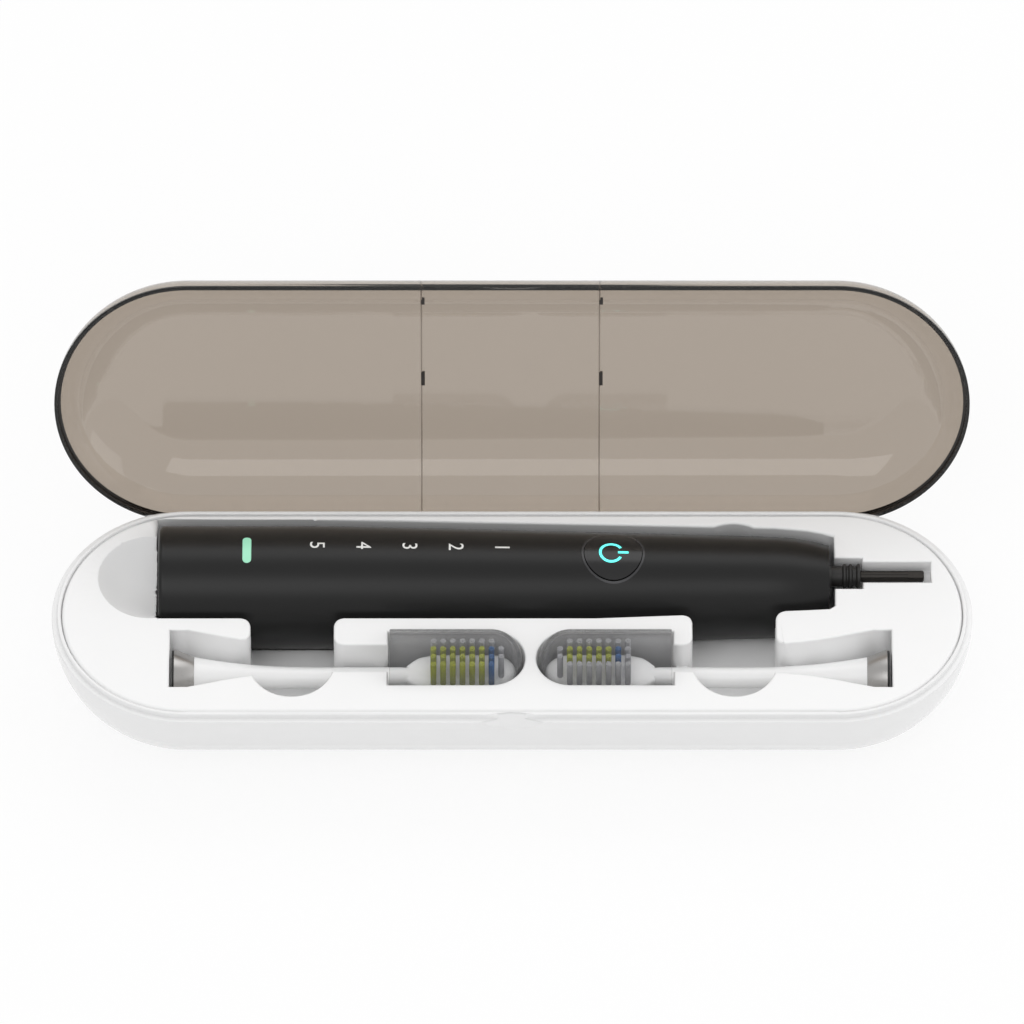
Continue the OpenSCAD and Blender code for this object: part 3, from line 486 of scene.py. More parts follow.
class Draft:
    """A mesh on the bench, shaped with bmesh operators until it becomes an object."""

    def __init__(self, mesh: bpy.types.Mesh | None = None, gap: float = 0.0) -> None:
        """Starts with nothing or with a mesh.

        Args:
            mesh: the mesh that it starts with.
            gap: the distance under which the mesh's points are joined.
        """
        self.bm = bmesh.new()
        if mesh:
            self.bm.from_mesh(mesh)
        if gap:
            bmesh.ops.remove_doubles(self.bm, verts=self.bm.verts, dist=gap)

    def chain(self, points: Iterable[Iterable[float]]) -> list[Edge]:
        """Joins points in a row by edges."""
        verts = [self.bm.verts.new(tuple(point)) for point in points]
        return [self.bm.edges.new(pair) for pair in zip(verts, verts[1:])]

    def spin(self, edges: list[Edge], centre: Iterable[float], axis: Iterable[float],
             degrees: float, steps: int) -> list[Edge]:
        """Sweeps edges round an axis.

        Args:
            edges: the edges that sweep.
            centre: a point on the axis.
            axis: the axis.
            degrees: the angle swept.
            steps: the steps of the sweep.

        Returns:
            The edges at the end of the sweep.
        """
        ends = {vert for edge in edges for vert in edge.verts}
        swept = bmesh.ops.spin(
            self.bm, geom=[*edges, *ends], cent=centre, axis=axis, dvec=(0, 0, 0),
            angle=math.radians(degrees), steps=steps, use_merge=abs(degrees) == 360,
            use_duplicate=False,
        )
        return [part for part in swept["geom_last"] if isinstance(part, Edge)]

    def pull(self, edges: list[Edge], step: Iterable[float]) -> list[Edge]:
        """Extrudes edges.

        Args:
            edges: the edges.
            step: how far they go.

        Returns:
            The new edges.
        """
        made = bmesh.ops.extrude_edge_only(self.bm, edges=edges)["geom"]
        verts = self._shift(made, step)
        return [part for part in made
                if isinstance(part, Edge) and all(vert in verts for vert in part.verts)]

    def raise_plan(self, plan: Iterable[Point], low: float, high: float) -> None:
        """Raises a flat plan into an upright solid.

        Args:
            plan: the plan's corners.
            low: the height of the solid's foot.
            high: the height of its top.
        """
        face = self.bm.faces.new([self.bm.verts.new((x, y, low)) for x, y in plan])
        made = bmesh.ops.extrude_face_region(self.bm, geom=[face], use_keep_orig=True)["geom"]
        self._shift(made, (0, 0, high - low))

    def _shift(self, made: list, step: Iterable[float]) -> list[bmesh.types.BMVert]:
        """Moves the points of what was just made, and hands them back."""
        verts = [part for part in made if isinstance(part, bmesh.types.BMVert)]
        bmesh.ops.translate(self.bm, verts=verts, vec=step)
        return verts

    def face_out(self) -> None:
        """Turns the faces outwards."""
        bmesh.ops.recalc_face_normals(self.bm, faces=self.bm.faces)

    def heal(self, gap: float = 0.002 * MM) -> None:
        """Merges doubled points, drops empty faces and turns the faces outwards."""
        bmesh.ops.remove_doubles(self.bm, verts=self.bm.verts, dist=gap)
        bmesh.ops.dissolve_degenerate(self.bm, dist=gap, edges=self.bm.edges)
        self.face_out()

    def soften(self, chosen: Callable[[Edge], bool], width: float, segments: int) -> None:
        """Rounds the edges that a test picks.

        Args:
            chosen: the test.
            width: the width of the round.
            segments: its steps.
        """
        edges = [edge for edge in self.bm.edges if chosen(edge)]
        bmesh.ops.bevel(
            self.bm, geom=edges, offset=width, offset_type="OFFSET", affect="EDGES",
            segments=segments, profile=0.5, material=-1, clamp_overlap=False,
        )

    def take(self, other: "Draft") -> None:
        """Adds another draft's shape to this one and uses it up."""
        mesh = bpy.data.meshes.new("part")
        other.bm.to_mesh(mesh)
        other.bm.free()
        self.bm.from_mesh(mesh)
        bpy.data.meshes.remove(mesh)

    def move(self, matrix: Matrix) -> None:
        """Moves, turns or mirrors the whole draft, keeping its faces outwards."""
        bmesh.ops.transform(self.bm, matrix=matrix, verts=self.bm.verts)
        if matrix.determinant() < 0:
            bmesh.ops.reverse_faces(self.bm, faces=self.bm.faces)

    def piece(self, name: str, smooth: float = 32.0) -> Object:
        """Makes the draft an object.

        Args:
            name: the object's name.
            smooth: the angle in degrees under which an edge is shaded smooth.

        Returns:
            The object, at the origin.
        """
        mesh = bpy.data.meshes.new(name)
        self.bm.to_mesh(mesh)
        self.bm.free()
        mesh.shade_smooth()
        mesh.set_sharp_from_angle(angle=math.radians(smooth))
        return linked(name, mesh)


def linked(name: str, data: bpy.types.ID) -> Object:
    """Makes an object of some data and links it to the scene."""
    obj = bpy.data.objects.new(name, data)
    bpy.context.scene.collection.objects.link(obj)
    return obj


def baked(obj: Object) -> bpy.types.Mesh:
    """Gives an object's mesh with its modifiers applied."""
    scene = bpy.context.evaluated_depsgraph_get()
    return bpy.data.meshes.new_from_object(obj.evaluated_get(scene))


def even(obj: Object) -> Object:
    """Evens an object's shading, so that its wide flats stay flat beside their rounds."""
    normals = obj.modifiers.new("even_shading", "WEIGHTED_NORMAL")
    normals.mode = "FACE_AREA"
    normals.weight = 80
    normals.keep_sharp = True
    return obj


def copy_of(node: str) -> Draft:
    """Copies a CAD node's mesh, with its loose triangles joined."""
    return Draft(frame["nodes"][node].data, 0.001 * MM)


def middle_of(node: str) -> tuple[float, ...]:
    """Gives the middle of a CAD node's box."""
    return tuple((low + high) / 2 for low, high in zip(*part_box(node)))


def stadium(profile: Iterable[Point], half: float, steps: int = 72) -> Draft:
    """Sweeps a profile round a long shape with two round ends.

    Args:
        profile: distance from the middle line and height, from the middle out and back.
        half: half the distance between the centres of the round ends.
        steps: the steps of each round end.

    Returns:
        The closed draft.
    """
    draft = Draft()
    edges = draft.chain((half, -across, up) for across, up in profile)
    for side in (1, -1):
        edges = draft.spin(edges, (side * half, 0, 0), (0, 0, 1), 180, steps)
        edges = draft.pull(edges, (-side * 2 * half, 0, 0))
    draft.heal()
    return draft


def lathe(profile: Iterable[Point], y: float, z: float, steps: int = 96) -> Draft:
    """Turns a profile round a line along X.

    Args:
        profile: place along X and radius, from one end on the axis to the other.
        y: the line's place across.
        z: the line's height.
        steps: the steps of a full turn.

    Returns:
        The closed draft.
    """
    draft = Draft()
    edges = draft.chain((x, y, z + radius) for x, radius in profile)
    draft.spin(edges, (0, y, z), (1, 0, 0), 360, steps)
    draft.heal()
    return draft


def rod(x0: float, x1: float, y: float, z: float, radius: float) -> Draft:
    """Makes a plain round bar along X."""
    return lathe([(x0, 0), (x0, radius), (x1, radius), (x1, 0)], y, z, 64)


def block(low: Iterable[float], high: Iterable[float]) -> Draft:
    """Makes a box from its low corner to its high corner."""
    draft = Draft()
    low, high = Vector(low), Vector(high)
    size = high - low
    place = Matrix.Translation((low + high) / 2) @ Matrix.Diagonal((*size, 1))
    bmesh.ops.create_cube(draft.bm, size=1.0, matrix=place)
    return draft


def ball(centre: Iterable[float], radius: float) -> Draft:
    """Makes a fine round ball."""
    draft = Draft()
    bmesh.ops.create_uvsphere(
        draft.bm, u_segments=120, v_segments=60, radius=radius,
        matrix=Matrix.Translation(Vector(centre)),
    )
    return draft


def work(target: Object, cut: Cut, draft: Draft) -> None:
    """Cuts, joins or trims an object with a draft, and keeps the result as its mesh.

    Args:
        target: the object that changes.
        cut: what the draft does to it.
        draft: the tool, used up by the cut.
    """
    tool = draft.piece("tool")
    change = target.modifiers.new("cut", "BOOLEAN")
    change.operation = cut.value
    change.solver = "EXACT"
    change.object = tool
    mesh = baked(target)
    target.modifiers.clear()
    spent = [target.data, tool.data]
    target.data = mesh
    bpy.data.objects.remove(tool)
    for old in spent:
        bpy.data.meshes.remove(old)


def reopened(obj: Object) -> Draft:
    """Takes an object back to the bench as a draft, and removes it."""
    mesh = obj.data
    draft = Draft(mesh, 0.002 * MM)
    bpy.data.objects.remove(obj)
    bpy.data.meshes.remove(mesh)
    return draft


def is_sharp(edge: Edge, degrees: float) -> bool:
    """Tells whether the faces beside an edge meet at more than an angle."""
    return edge.calc_face_angle(0) > math.radians(degrees)


def reach_of(spot: Vector, half: float) -> float:
    """Gives a spot's distance from the middle line of a long round-ended shape."""
    return math.hypot(max(0.0, abs(spot.x) - half), spot.y)


def thumb_ball(width: float, depth: float, height: float, edge: Point, way: int) -> Draft:
    """Makes the ball that cuts a thumb nick into an edge in the middle of the front.

    Args:
        width: the nick's width.
        depth: how far it goes in.
        height: how far it goes down or up from the edge.
        edge: the edge's place across and its height.
        way: 1 where the nick goes down from the edge, and -1 where it goes up.

    Returns:
        The ball.
    """
    half = width / 2
    inwards, up = ((half**2 - sag**2) / (2 * sag) for sag in (depth, height))
    centre = (0, edge[0] - inwards, edge[1] + way * up)
    return ball(centre, math.hypot(inwards, up, half))


def show(obj: Object, body: str, finish: Finish, slot: str, *nodes: str) -> Object:
    """Finishes a piece: its material, the body it rides on and the CAD nodes it stands for.

    Args:
        obj: the piece.
        body: the CAD body that it moves with.
        finish: its finish.
        slot: not used.
        nodes: the CAD nodes that it replaces.

    Returns:
        The piece.
    """
    finish.cover(obj)
    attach(obj, body)
    if nodes:
        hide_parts(*nodes)
    LOG.info("%s: %d faces, on %s", obj.name, len(obj.data.polygons), body)
    return obj


# The object's own finishes --------------------------------------------------------------------

BASE_GLOSS = Moulded("base_gloss_white", paint(238, 238, 238), 0.16, 0.01, 0.6 * MM, 0.001 * MM)
TRAY_SATIN = Moulded("tray_satin_white", paint(246, 246, 246), 0.42, 0.01, 0.3 * MM, 0.002 * MM)
HANDLE_BLACK = Moulded(
    "handle_soft_black", paint(14, 14, 14), 0.34, 0.06, 0.25 * MM, 0.004 * MM, specular=0.36
)
CAP_END_BLACK = Moulded(
    "end_cap_black", paint(13, 13, 13), 0.31, 0.06, 0.25 * MM, 0.004 * MM, specular=0.36
)
BUTTON_GLOSS = Moulded("button_gloss_black", paint(16, 16, 17), 0.2, 0.05, 0.4 * MM, 0.001 * MM)
COLLAR_RUBBER = Moulded("collar_rubber", paint(34, 33, 32), 0.5, 0.08, 0.2 * MM, 0.006 * MM)
# The button trim's own grey, darkened further as painted shade for the groove round the button.
TRIM_GREY_GROOVE_SHADE = Moulded("button_trim_groove_shade", paint(52, 52, 54), 0.25, 0.04, 0.3 * MM, 0.002 * MM)
HEAD_WHITE = Moulded(
    "head_white", paint(240, 240, 240), 0.3, 0.01, 0.3 * MM, 0.002 * MM, bleed=0.15
)
SEAL_BLACK = Moulded("seal_black", paint(24, 24, 24), 0.5, 0.06, 0.15 * MM, 0.006 * MM)
FOOT_RUBBER = Moulded("foot_rubber", paint(96, 96, 98), 0.7, 0.08, 0.25 * MM, 0.012 * MM)
PRINT_WHITE = Moulded("print_white", paint(235, 235, 232), 0.5, 0.02, 0.12 * MM, 0.003 * MM)
SMOKE = Glass("lid_smoke", paint(168, 157, 145), 0.05)
RIB_TAUPE = Moulded("rib_taupe", paint(150, 138, 126), 0.3, 0.04, 0.3 * MM, 0.001 * MM)
RIB_DARK = Moulded("rib_pad_dark", paint(42, 36, 32), 0.4, 0.04, 0.3 * MM, 0.001 * MM)
# Painted shade: a near-opaque dark finish for the black line that internal reflection draws along
# the lid's skirt.
SMOKE_EDGE_SHADE = Clear(
    "lid_smoke_edge_shade", paint(34, 28, 24), paint(16, 13, 11), body=0.9, edge=0.99, roughness=0.08
)
# Its near-black edges are painted shade for the outlines that refraction draws round the clear cap.
CAP_CLEAR = Clear(
    "cover_clear", paint(176, 176, 178), paint(8, 8, 9), body=0.06, edge=1.0, sharpness=2.0,
    roughness=0.03, specular=0.3,
)
RING_METAL = Metal("ring_brushed", paint(178, 176, 174), 0.3)
STEEL = Metal("bright_steel", paint(196, 198, 202), 0.28)
SHAFT_METAL = Metal("drive_shaft_dark", paint(58, 56, 54), 0.3)
MAGNET = Metal("magnet_nickel", paint(170, 170, 172), 0.3)
BRONZE = Metal("bearing_bronze", paint(176, 128, 66), 0.34)
COPPER = Winding("coil_copper", paint(198, 112, 58))
BOARD_GREEN = Laminate("board_green", paint(26, 98, 62))
FERRITE = Moulded("ferrite_grey", paint(52, 52, 56), 0.6, 0.12, 0.2 * MM, 0.01 * MM)
PART_BLACK = Moulded("part_black", paint(30, 30, 32), 0.45, 0.08, 0.2 * MM, 0.006 * MM)
INNER_PLASTIC = Moulded("inner_plastic", paint(206, 206, 202), 0.5, 0.04, 0.3 * MM, 0.005 * MM)
CELL_WRAP = Moulded("cell_wrap_blue", paint(42, 92, 150), 0.3, 0.05, 1.2 * MM, 0.01 * MM)
SEAL_ORANGE = Moulded("seal_orange", paint(214, 84, 32), 0.45, 0.06, 0.2 * MM, 0.006 * MM)
LEAD_RED = Moulded("lead_red", paint(170, 36, 30), 0.4, 0.05, 0.2 * MM, 0.006 * MM)
MINT_LENS = Moulded("lens_mint", paint(166, 240, 204), 0.3, 0.03, 0.4 * MM, 0.001 * MM, bleed=0.1)
# Painted glow: the printed power mark's ink is given emission, though it is ink and no lamp.
MARK_CYAN_PAINTED_GLOW = Lit("mark_cyan_painted_glow", paint(96, 238, 228), 0.95)
LIGHT_WHITE = Lit("light_white", paint(235, 240, 236), 0.2)

NODE_FINISHES: dict[Finish, tuple[str, ...]] = {
    STEEL: ("hinge_pins", "charging_inlet", "board_screws", "battery_tabs", "tact_switch",
            "motor_case"),
    COPPER: ("transmit_coil", "receiver_coil", "stator_coil"),
    FERRITE: ("transmit_ferrite", "receiver_core"),
    BOARD_GREEN: ("charger_board", "circuit_board"),
    PART_BLACK: ("charger_parts", "board_chips"),
    INNER_PLASTIC: ("chassis", "left_socket", "right_socket"),
    SEAL_BLACK: ("shaft_seal", "left_seal", "right_seal"),
    FOOT_RUBBER: ("case_feet",),
    LEAD_RED: ("coil_leads",),
    SEAL_ORANGE: ("end_seal",),
    CELL_WRAP: ("battery",),
    LIGHT_WHITE: ("mode_lights",),
    TRIM_GREY_GROOVE_SHADE: ("button_ring",),
    MINT_LENS: ("charge_lens",),
    BRONZE: ("motor_bearings",),
    COLLAR_RUBBER: ("nose_collar",),
    SHAFT_METAL: ("drive_shaft",),
    MAGNET: ("rotor_magnet",),
    CAP_END_BLACK: ("end_cap",),
    BUTTON_GLOSS: ("power_button",),
}


# The case -------------------------------------------------------------------------------------


@dataclass(frozen=True)
class Corner:
    """A corner of a finger slot in plan, with the height of its foot."""

    before: Vector
    spot: Vector
    after: Vector
    foot: float

    def post(self, draft: Draft, wall: float, top: float) -> None:
        """Adds the solid post that the corner's round is cut from.

        Args:
            draft: the draft that it is added to.
            wall: how much wider the post is than the round, as a share of the round.
            top: the height of its top.
        """
        # The odd small steps keep these faces off the tray's own.
        one = (self.before - self.spot) * (1 + wall)
        two = (self.after - self.spot) * (1 + wall)
        start = self.spot + (one + two) * 0.03
        plan = [start, start + one, start + one + two, start + two]
        draft.raise_plan(plan, self.foot - 0.11 * MM, top - 0.23 * MM)

    def tool(self, draft: Draft, top: float, steps: int = 8) -> None:
        """Adds the tool that rounds the corner.

        Args:
            draft: the draft that it is added to.
            top: the height of the tray's top.
            steps: the steps of the round.
        """
        # The ends of the round lean into the walls, so that it leaves no thin flap.
        outside = self.spot + (self.spot - (self.before + self.after) / 2) * 0.08
        slack = (self.spot - self.after) * 0.02 + (self.spot - self.before) * 0.02
        curve = [
            bend(self.before, self.spot, self.after, t) + slack * (2 * t - 1) ** 6
            for t in (step / steps for step in range(steps + 1))
        ]
        draft.raise_plan([outside, *curve], self.foot - 0.23 * MM, top + MM)


@dataclass
class Case:
    """The base with its moulded tray."""

    lip_height: float = 1.3 * MM
    rim_round: float = 0.22 * MM
    rim_reach: float = 2.2 * MM
    pocket_round: float = 0.45 * MM
    pocket_reach: float = 3.6 * MM
    rear_round: float = 0.6 * MM
    corner_round: float = 2.8 * MM
    post_wall: float = 0.7 * MM
    slot_width: float = 19 * MM
    left_slot: float = 22.25 * MM
    right_slot: float = 14.25 * MM
    cradle_gap: float = 0.3 * MM
    cradle_rise: float = 0.3 * MM
    closing: Point = (100 * MM, 122 * MM)
    closing_in: Point = (1 * MM, 1.4 * MM)
    nose_short: float = 4.8 * MM
    neck: float = 2.4 * MM
    neck_gap: float = 1.4 * MM
    ring: float = 6.5 * MM
    ring_gap: float = 1.7 * MM
    ring_room: float = 5 * MM
    seal: float = 0.5 * MM
    flare: float = 28 * MM
    thumb: float = 14.8 * MM
    thumb_in: float = 1.45 * MM
    thumb_drop: float = 2.9 * MM
    thumb_clear: float = 1.5 * MM
    scoop: float = 12 * MM
    scoop_depth: float = 5.55 * MM
    scoop_behind: float = 1.9 * MM
    scoop_aside: float = 2.6 * MM

    def __post_init__(self) -> None:
        """Reads the case's outline from the frame."""
        low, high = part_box("base_shell")
        self.radius = (high.y - low.y) / 2
        self.half = high.x - self.radius
        self.top = high.z
        self.ledge = self.top - self.lip_height
        low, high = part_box("end_cap")
        self.tail = low.x
        self.trough = (low.y + high.y) / 2
        self.trough_half = (high.y - low.y) / 2 + self.cradle_gap
        self.trough_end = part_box("handle_shell")[1].x - self.nose_short
        self.cradle_top = (low.z + high.z) / 2 + self.cradle_rise
        self.trough_rear = (low.y + 3 * high.y) / 4

    def base(self) -> Object:
        """Rounds the rim of the base.

        Returns:
            The base.
        """
        base = copy_of("base_shell").piece("base")
        edge = (-self.radius, self.ledge)
        work(base, Cut.REMOVE, thumb_ball(self.thumb, self.thumb_in, self.thumb_drop, edge, 1))
        draft = reopened(base)
        draft.soften(self._is_rim, self.rim_round, 2)
        base = even(draft.piece("base_bowl", 40))
        return show(base, "case", BASE_GLOSS, "base_gloss", "base_shell")

    def _is_rim(self, edge: Edge) -> bool:
        """Tells whether an edge runs round the top of the lip or the ledge outside it.

        Args:
            edge: the edge.

        Returns:
            Whether it does, away from the thumb nick.
        """
        level = {round(vert.co.z / MM, 2) for vert in edge.verts}
        flat = level in ({round(self.top / MM, 2)}, {round(self.ledge / MM, 2)})
        outer = all(self._reach(vert.co) > self.radius - self.rim_reach for vert in edge.verts)
        middle = (edge.verts[0].co + edge.verts[1].co) / 2
        clear = abs(middle.x) > self.thumb / 2 + self.thumb_clear or middle.y > 0
        return flat and outer and clear and is_sharp(edge, 50)

    def _reach(self, spot: Vector) -> float:
        """Gives a spot's distance from the middle line of the case."""
        return reach_of(spot, self.half)

    def tray(self) -> Object:
        """Rounds the corners of the tray's slots and the edges of its pockets.

        Returns:
            The tray.
        """
        tray = copy_of("tray").piece("tray")
        corners = self._slot_corners()
        for part in (corners[0::2], corners[1::2]):
            posts = Draft()
            for corner in part:
                corner.post(posts, self.post_wall / self.corner_round, self.top)
            posts.face_out()
            work(tray, Cut.JOIN, posts)
        rounds = Draft()
        for corner in corners:
            corner.tool(rounds, self.top)
        rounds.face_out()
        work(tray, Cut.REMOVE, rounds)
        work(tray, Cut.REMOVE, self._tail_scoop())
        draft = reopened(tray)
        draft.soften(self._is_rear_edge, self.rear_round, 5)
        draft.soften(self._is_pocket_edge, self.pocket_round, 3)
        tray = even(draft.piece("tray_liner", 40))
        return show(tray, "case", TRAY_SATIN, "tray_satin", "tray")

    def _tail_scoop(self) -> Draft:
        """Makes the ball whose foot hollows the shallow scoop behind the handle."""
        radius = (self.scoop**2 + self.scoop_depth**2) / (2 * self.scoop_depth)
        centre = (self.tail - self.scoop_behind, self.trough - self.scoop_aside,
                  self.top - self.scoop_depth + radius)
        return ball(centre, radius)

    def _is_rear_edge(self, edge: Edge) -> bool:
        """Tells whether an edge runs along the rear of the handle's trough."""
        rear = all(vert.co.y > self.trough_rear for vert in edge.verts)
        beside = all(vert.co.x > self.tail for vert in edge.verts)
        return rear and beside and self._is_pocket_edge(edge)

    def _is_pocket_edge(self, edge: Edge) -> bool:
        """Tells whether an edge runs round the mouth of a pocket in the tray."""
        level = all(abs(vert.co.z - self.top) < 0.01 * MM for vert in edge.verts)
        inner = all(self._reach(vert.co) < self.radius - self.pocket_reach for vert in edge.verts)
        return level and inner and is_sharp(edge, 50)

    def _slot_corners(self) -> list[Corner]:
        """Finds where the finger slots open into the handle's trough and the heads' channels.

        Returns:
            The corners, in turn one at the trough and one at a channel.
        """
        cap = {side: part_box(f"{side.value}_cap") for side in Side}
        middles = {
            Side.LEFT: cap[Side.LEFT][0].x - self.left_slot,
            Side.RIGHT: cap[Side.RIGHT][1].x + self.right_slot,
        }
        head_y = middle_of("left_cap")[1]
        foot = cap[Side.LEFT][0].z
        reach = self.corner_round
        corners = []
        for side, middle in middles.items():
            ring_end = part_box(f"{side.value}_seal")[0 if side is Side.LEFT else 1].x
            for way in (-1, 1):
                x = middle + way * self.slot_width / 2
                past = x + way * reach
                wall, back = self._trough_front(x), head_y + self._channel_half(x, ring_end)
                far_back = head_y + self._channel_half(past, ring_end)
                corners += [
                    Corner(Vector((past, self._trough_front(past))), Vector((x, wall)),
                           Vector((x, wall - reach)), self.cradle_top),
                    Corner(Vector((past, far_back)), Vector((x, back)),
                           Vector((x, back + reach)), foot),
                ]
        return corners

    def _trough_front(self, x: float) -> float:
        """Gives the place of the trough's front wall, which closes in towards the nose.

        Args:
            x: the place along the case.

        Returns:
            The wall's place across.
        """
        wall = self.trough - self.trough_half
        start, end = (self.tail + place for place in self.closing)
        first, second = self.closing_in
        if x <= start:
            return wall
        if x <= end:
            return wall + first * (x - start) / (end - start)
        return wall + first + second * (x - end) / (self.trough_end - end)

    def _channel_half(self, x: float, ring_end: float) -> float:
        """Gives the half-width of a head's channel.

        Args:
            x: the place along the case.
            ring_end: the place of the head's outer end.

        Returns:
            Half the channel's width there.
        """
        along = abs(x - ring_end) + self.seal
        if along < self.ring_room:
            return self.ring + self.ring_gap
        share = max(0.0, 1 - (along - self.ring_room) / self.flare)
        narrow, wide = self.neck + self.neck_gap, self.ring + self.ring_gap
        return narrow + (wide - narrow) * share**2


@dataclass
class Lid:
    """The smoked lid, modelled shut and then swung to where it stands open."""

    height: float = 14.9 * MM
    wall: float = 1.4 * MM
    skirt: float = 0.85 * MM
    corner: float = 16.6 * MM
    inset: float = 0.3 * MM
    lip_height: float = 1.3 * MM
    arm_width: float = 4 * MM
    eye: float = 1.4 * MM
    pin: float = 0.65 * MM
    pin_reach: float = 4.5 * MM
    thumb: float = 14.6 * MM
    thumb_in: float = 0.55 * MM
    thumb_up: float = 1.6 * MM
    rib_width: float = 0.35 * MM
    rib_depth: float = 0.5 * MM
    pad_width: float = 0.8 * MM
    pads: tuple[tuple[float, float, float], ...] = (
        (0.0, 1.7 * MM, 0.0), (-21 * MM, 0.9 * MM, 1.5 * MM),
    )

    def __post_init__(self) -> None:
        """Reads the rim and the hinge from the frame."""
        low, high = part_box("base_shell")
        case_radius = (high.y - low.y) / 2
        self.half = high.x - case_radius
        self.radius = case_radius - self.inset
        self.rim = high.z - self.lip_height + 0.1 * MM
        hinge = next(joint for joint in frame["joints"] if joint["name"] == "lid_hinge")
        self.hinge = Vector(hinge["pos_m"])
        self.angle = hinge["range_deg"][1]
        self.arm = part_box("hinge_pins")[1].x - self.pin_reach

    def swing(self) -> Matrix:
        """Gives the turn from shut to open about the hinge."""
        turn = Matrix.Rotation(math.radians(-self.angle), 4, "X")
        return Matrix.Translation(self.hinge) @ turn @ Matrix.Translation(-self.hinge)

    def profile(self) -> list[Point]:
        """Gives the lid's section from the inside of its top round to the outside.

        Returns:
            The section's points.
        """
        centre = self.radius - self.corner
        inner = (self.corner - self.wall, self.height - self.wall)
        step = self.rim + self.lip_height + 0.05 * MM
        rise = math.degrees(math.asin((step - self.rim) / inner[1]))
        roof = [(0, self.rim + inner[1])]
        roof += quarter((centre, self.rim), inner, 180, 90 + rise, 24)
        foot = rounded([
            (*roof[-1], 0),
            (self.radius - self.skirt, step, 0.12 * MM),
            (self.radius - self.skirt, self.rim, 0.1 * MM),
            (self.radius, self.rim, 0.12 * MM),
            (self.radius, self.rim + 0.4 * MM, 0),
        ], 2)
        outside = quarter((centre, self.rim), (self.corner, self.height), 92, 180, 28)
        return roof[:-1] + foot[:-1] + outside + [(0, self.rim + self.height)]

    def build(self) -> None:
        """Builds the lid and the ribs that stiffen it inside."""
        lid = stadium(self.profile(), self.half).piece("lid_cover")
        for cut, tool in ((Cut.JOIN, self._arm), (Cut.REMOVE, self._pin)):
            for side in (-1, 1):
                work(lid, cut, tool(side * self.arm))
        edge = (-self.radius, self.rim)
        work(lid, Cut.REMOVE, thumb_ball(self.thumb, self.thumb_in, self.thumb_up, edge, -1))
        draft = reopened(lid)
        self._mark_edge(draft)
        draft.move(self.swing())
        lid = draft.piece("lid_cover", 28)
        show(lid, "lid", SMOKE, "smoke_clear", "lid")
        # The second slot holds the painted shade of the skirt's dark edge line.
        lid.data.materials.append(SMOKE_EDGE_SHADE.material())
        for side, name in ((-1, "left"), (1, "right")):
            rib = self._rib(side * self.arm).piece(f"lid_rib_{name}")
            show(rib, "lid", RIB_TAUPE, "smoke_clear")
            marks = self._marks(side * self.arm).piece(f"lid_marks_{name}")
            show(marks, "lid", RIB_DARK, "smoke_clear")

    def _mark_edge(self, draft: Draft) -> None:
        """Gives the lid's foot and the faces near it the dark edge finish, painted shade standing
        in for internal reflection at the skirt.
        """
        limit = self.rim + self.lip_height + 0.2 * MM
        inside = self.radius - self.skirt + 0.15 * MM
        for face in draft.bm.faces:
            spot = face.calc_center_median()
            face.material_index = int(reach_of(spot, self.half) < inside and spot.z < limit)

    def _pin(self, x: float) -> Draft:
        """Makes the bore of one hinge arm."""
        reach = self.arm_width
        return rod(x - reach, x + reach, self.hinge.y, self.hinge.z, self.pin)

    def _arm(self, x: float) -> Draft:
        """Makes one hinge arm, an eye with a plate up to the lid's foot.

        Args:
            x: the arm's middle.

        Returns:
            The arm.
        """
        half = self.arm_width / 2
        plate = block(
            (x - half, self.radius - self.skirt, self.hinge.z),
            (x + half, self.hinge.y + self.eye, self.rim + 0.8 * MM),
        ).piece("arm")
        work(plate, Cut.JOIN, rod(x - half, x + half, self.hinge.y, self.hinge.z, self.eye))
        return reopened(plate)

    def _marks(self, x: float) -> Draft:
        """Makes the two small dark pads that lie on a rib.

        Args:
            x: the rib's place along the lid.

        Returns:
            The pads.
        """
        draft = Draft()
        wide, roof = self.pad_width / 2, self.rim + self.height - self.wall
        for middle, half, drop in self.pads:
            pad = block((x - wide, middle - half, roof - drop - 0.55 * MM),
                        (x + wide, middle + half, roof - drop + 0.1 * MM))
            draft.take(pad)
        draft.move(self.swing())
        return draft

    def _rib(self, x: float) -> Draft:
        """Makes one thin rib that follows the inside of the lid from side to side.

        Args:
            x: the rib's place along the lid.

        Returns:
            The rib.
        """
        centre = self.radius - self.corner
        reach = (self.corner - self.wall + 0.1 * MM, self.height - self.wall + 0.1 * MM)
        arch = quarter((centre, self.rim), reach, 104, 180, 14)
        draft = Draft()
        top = self.rim + reach[1]
        path = [(-across, up) for across, up in arch] + [(0, top)]
        path += [(across, up) for across, up in reversed(arch)]
        edges = draft.chain((x - self.rib_width / 2, across, up) for across, up in path)
        made = draft.pull(edges, (0, 0, -self.rib_depth))
        faces = [face for edge in made for face in edge.link_faces]
        bmesh.ops.solidify(draft.bm, geom=faces, thickness=self.rib_width)
        draft.heal()
        draft.move(self.swing())
        return draft


# The handle -----------------------------------------------------------------------------------


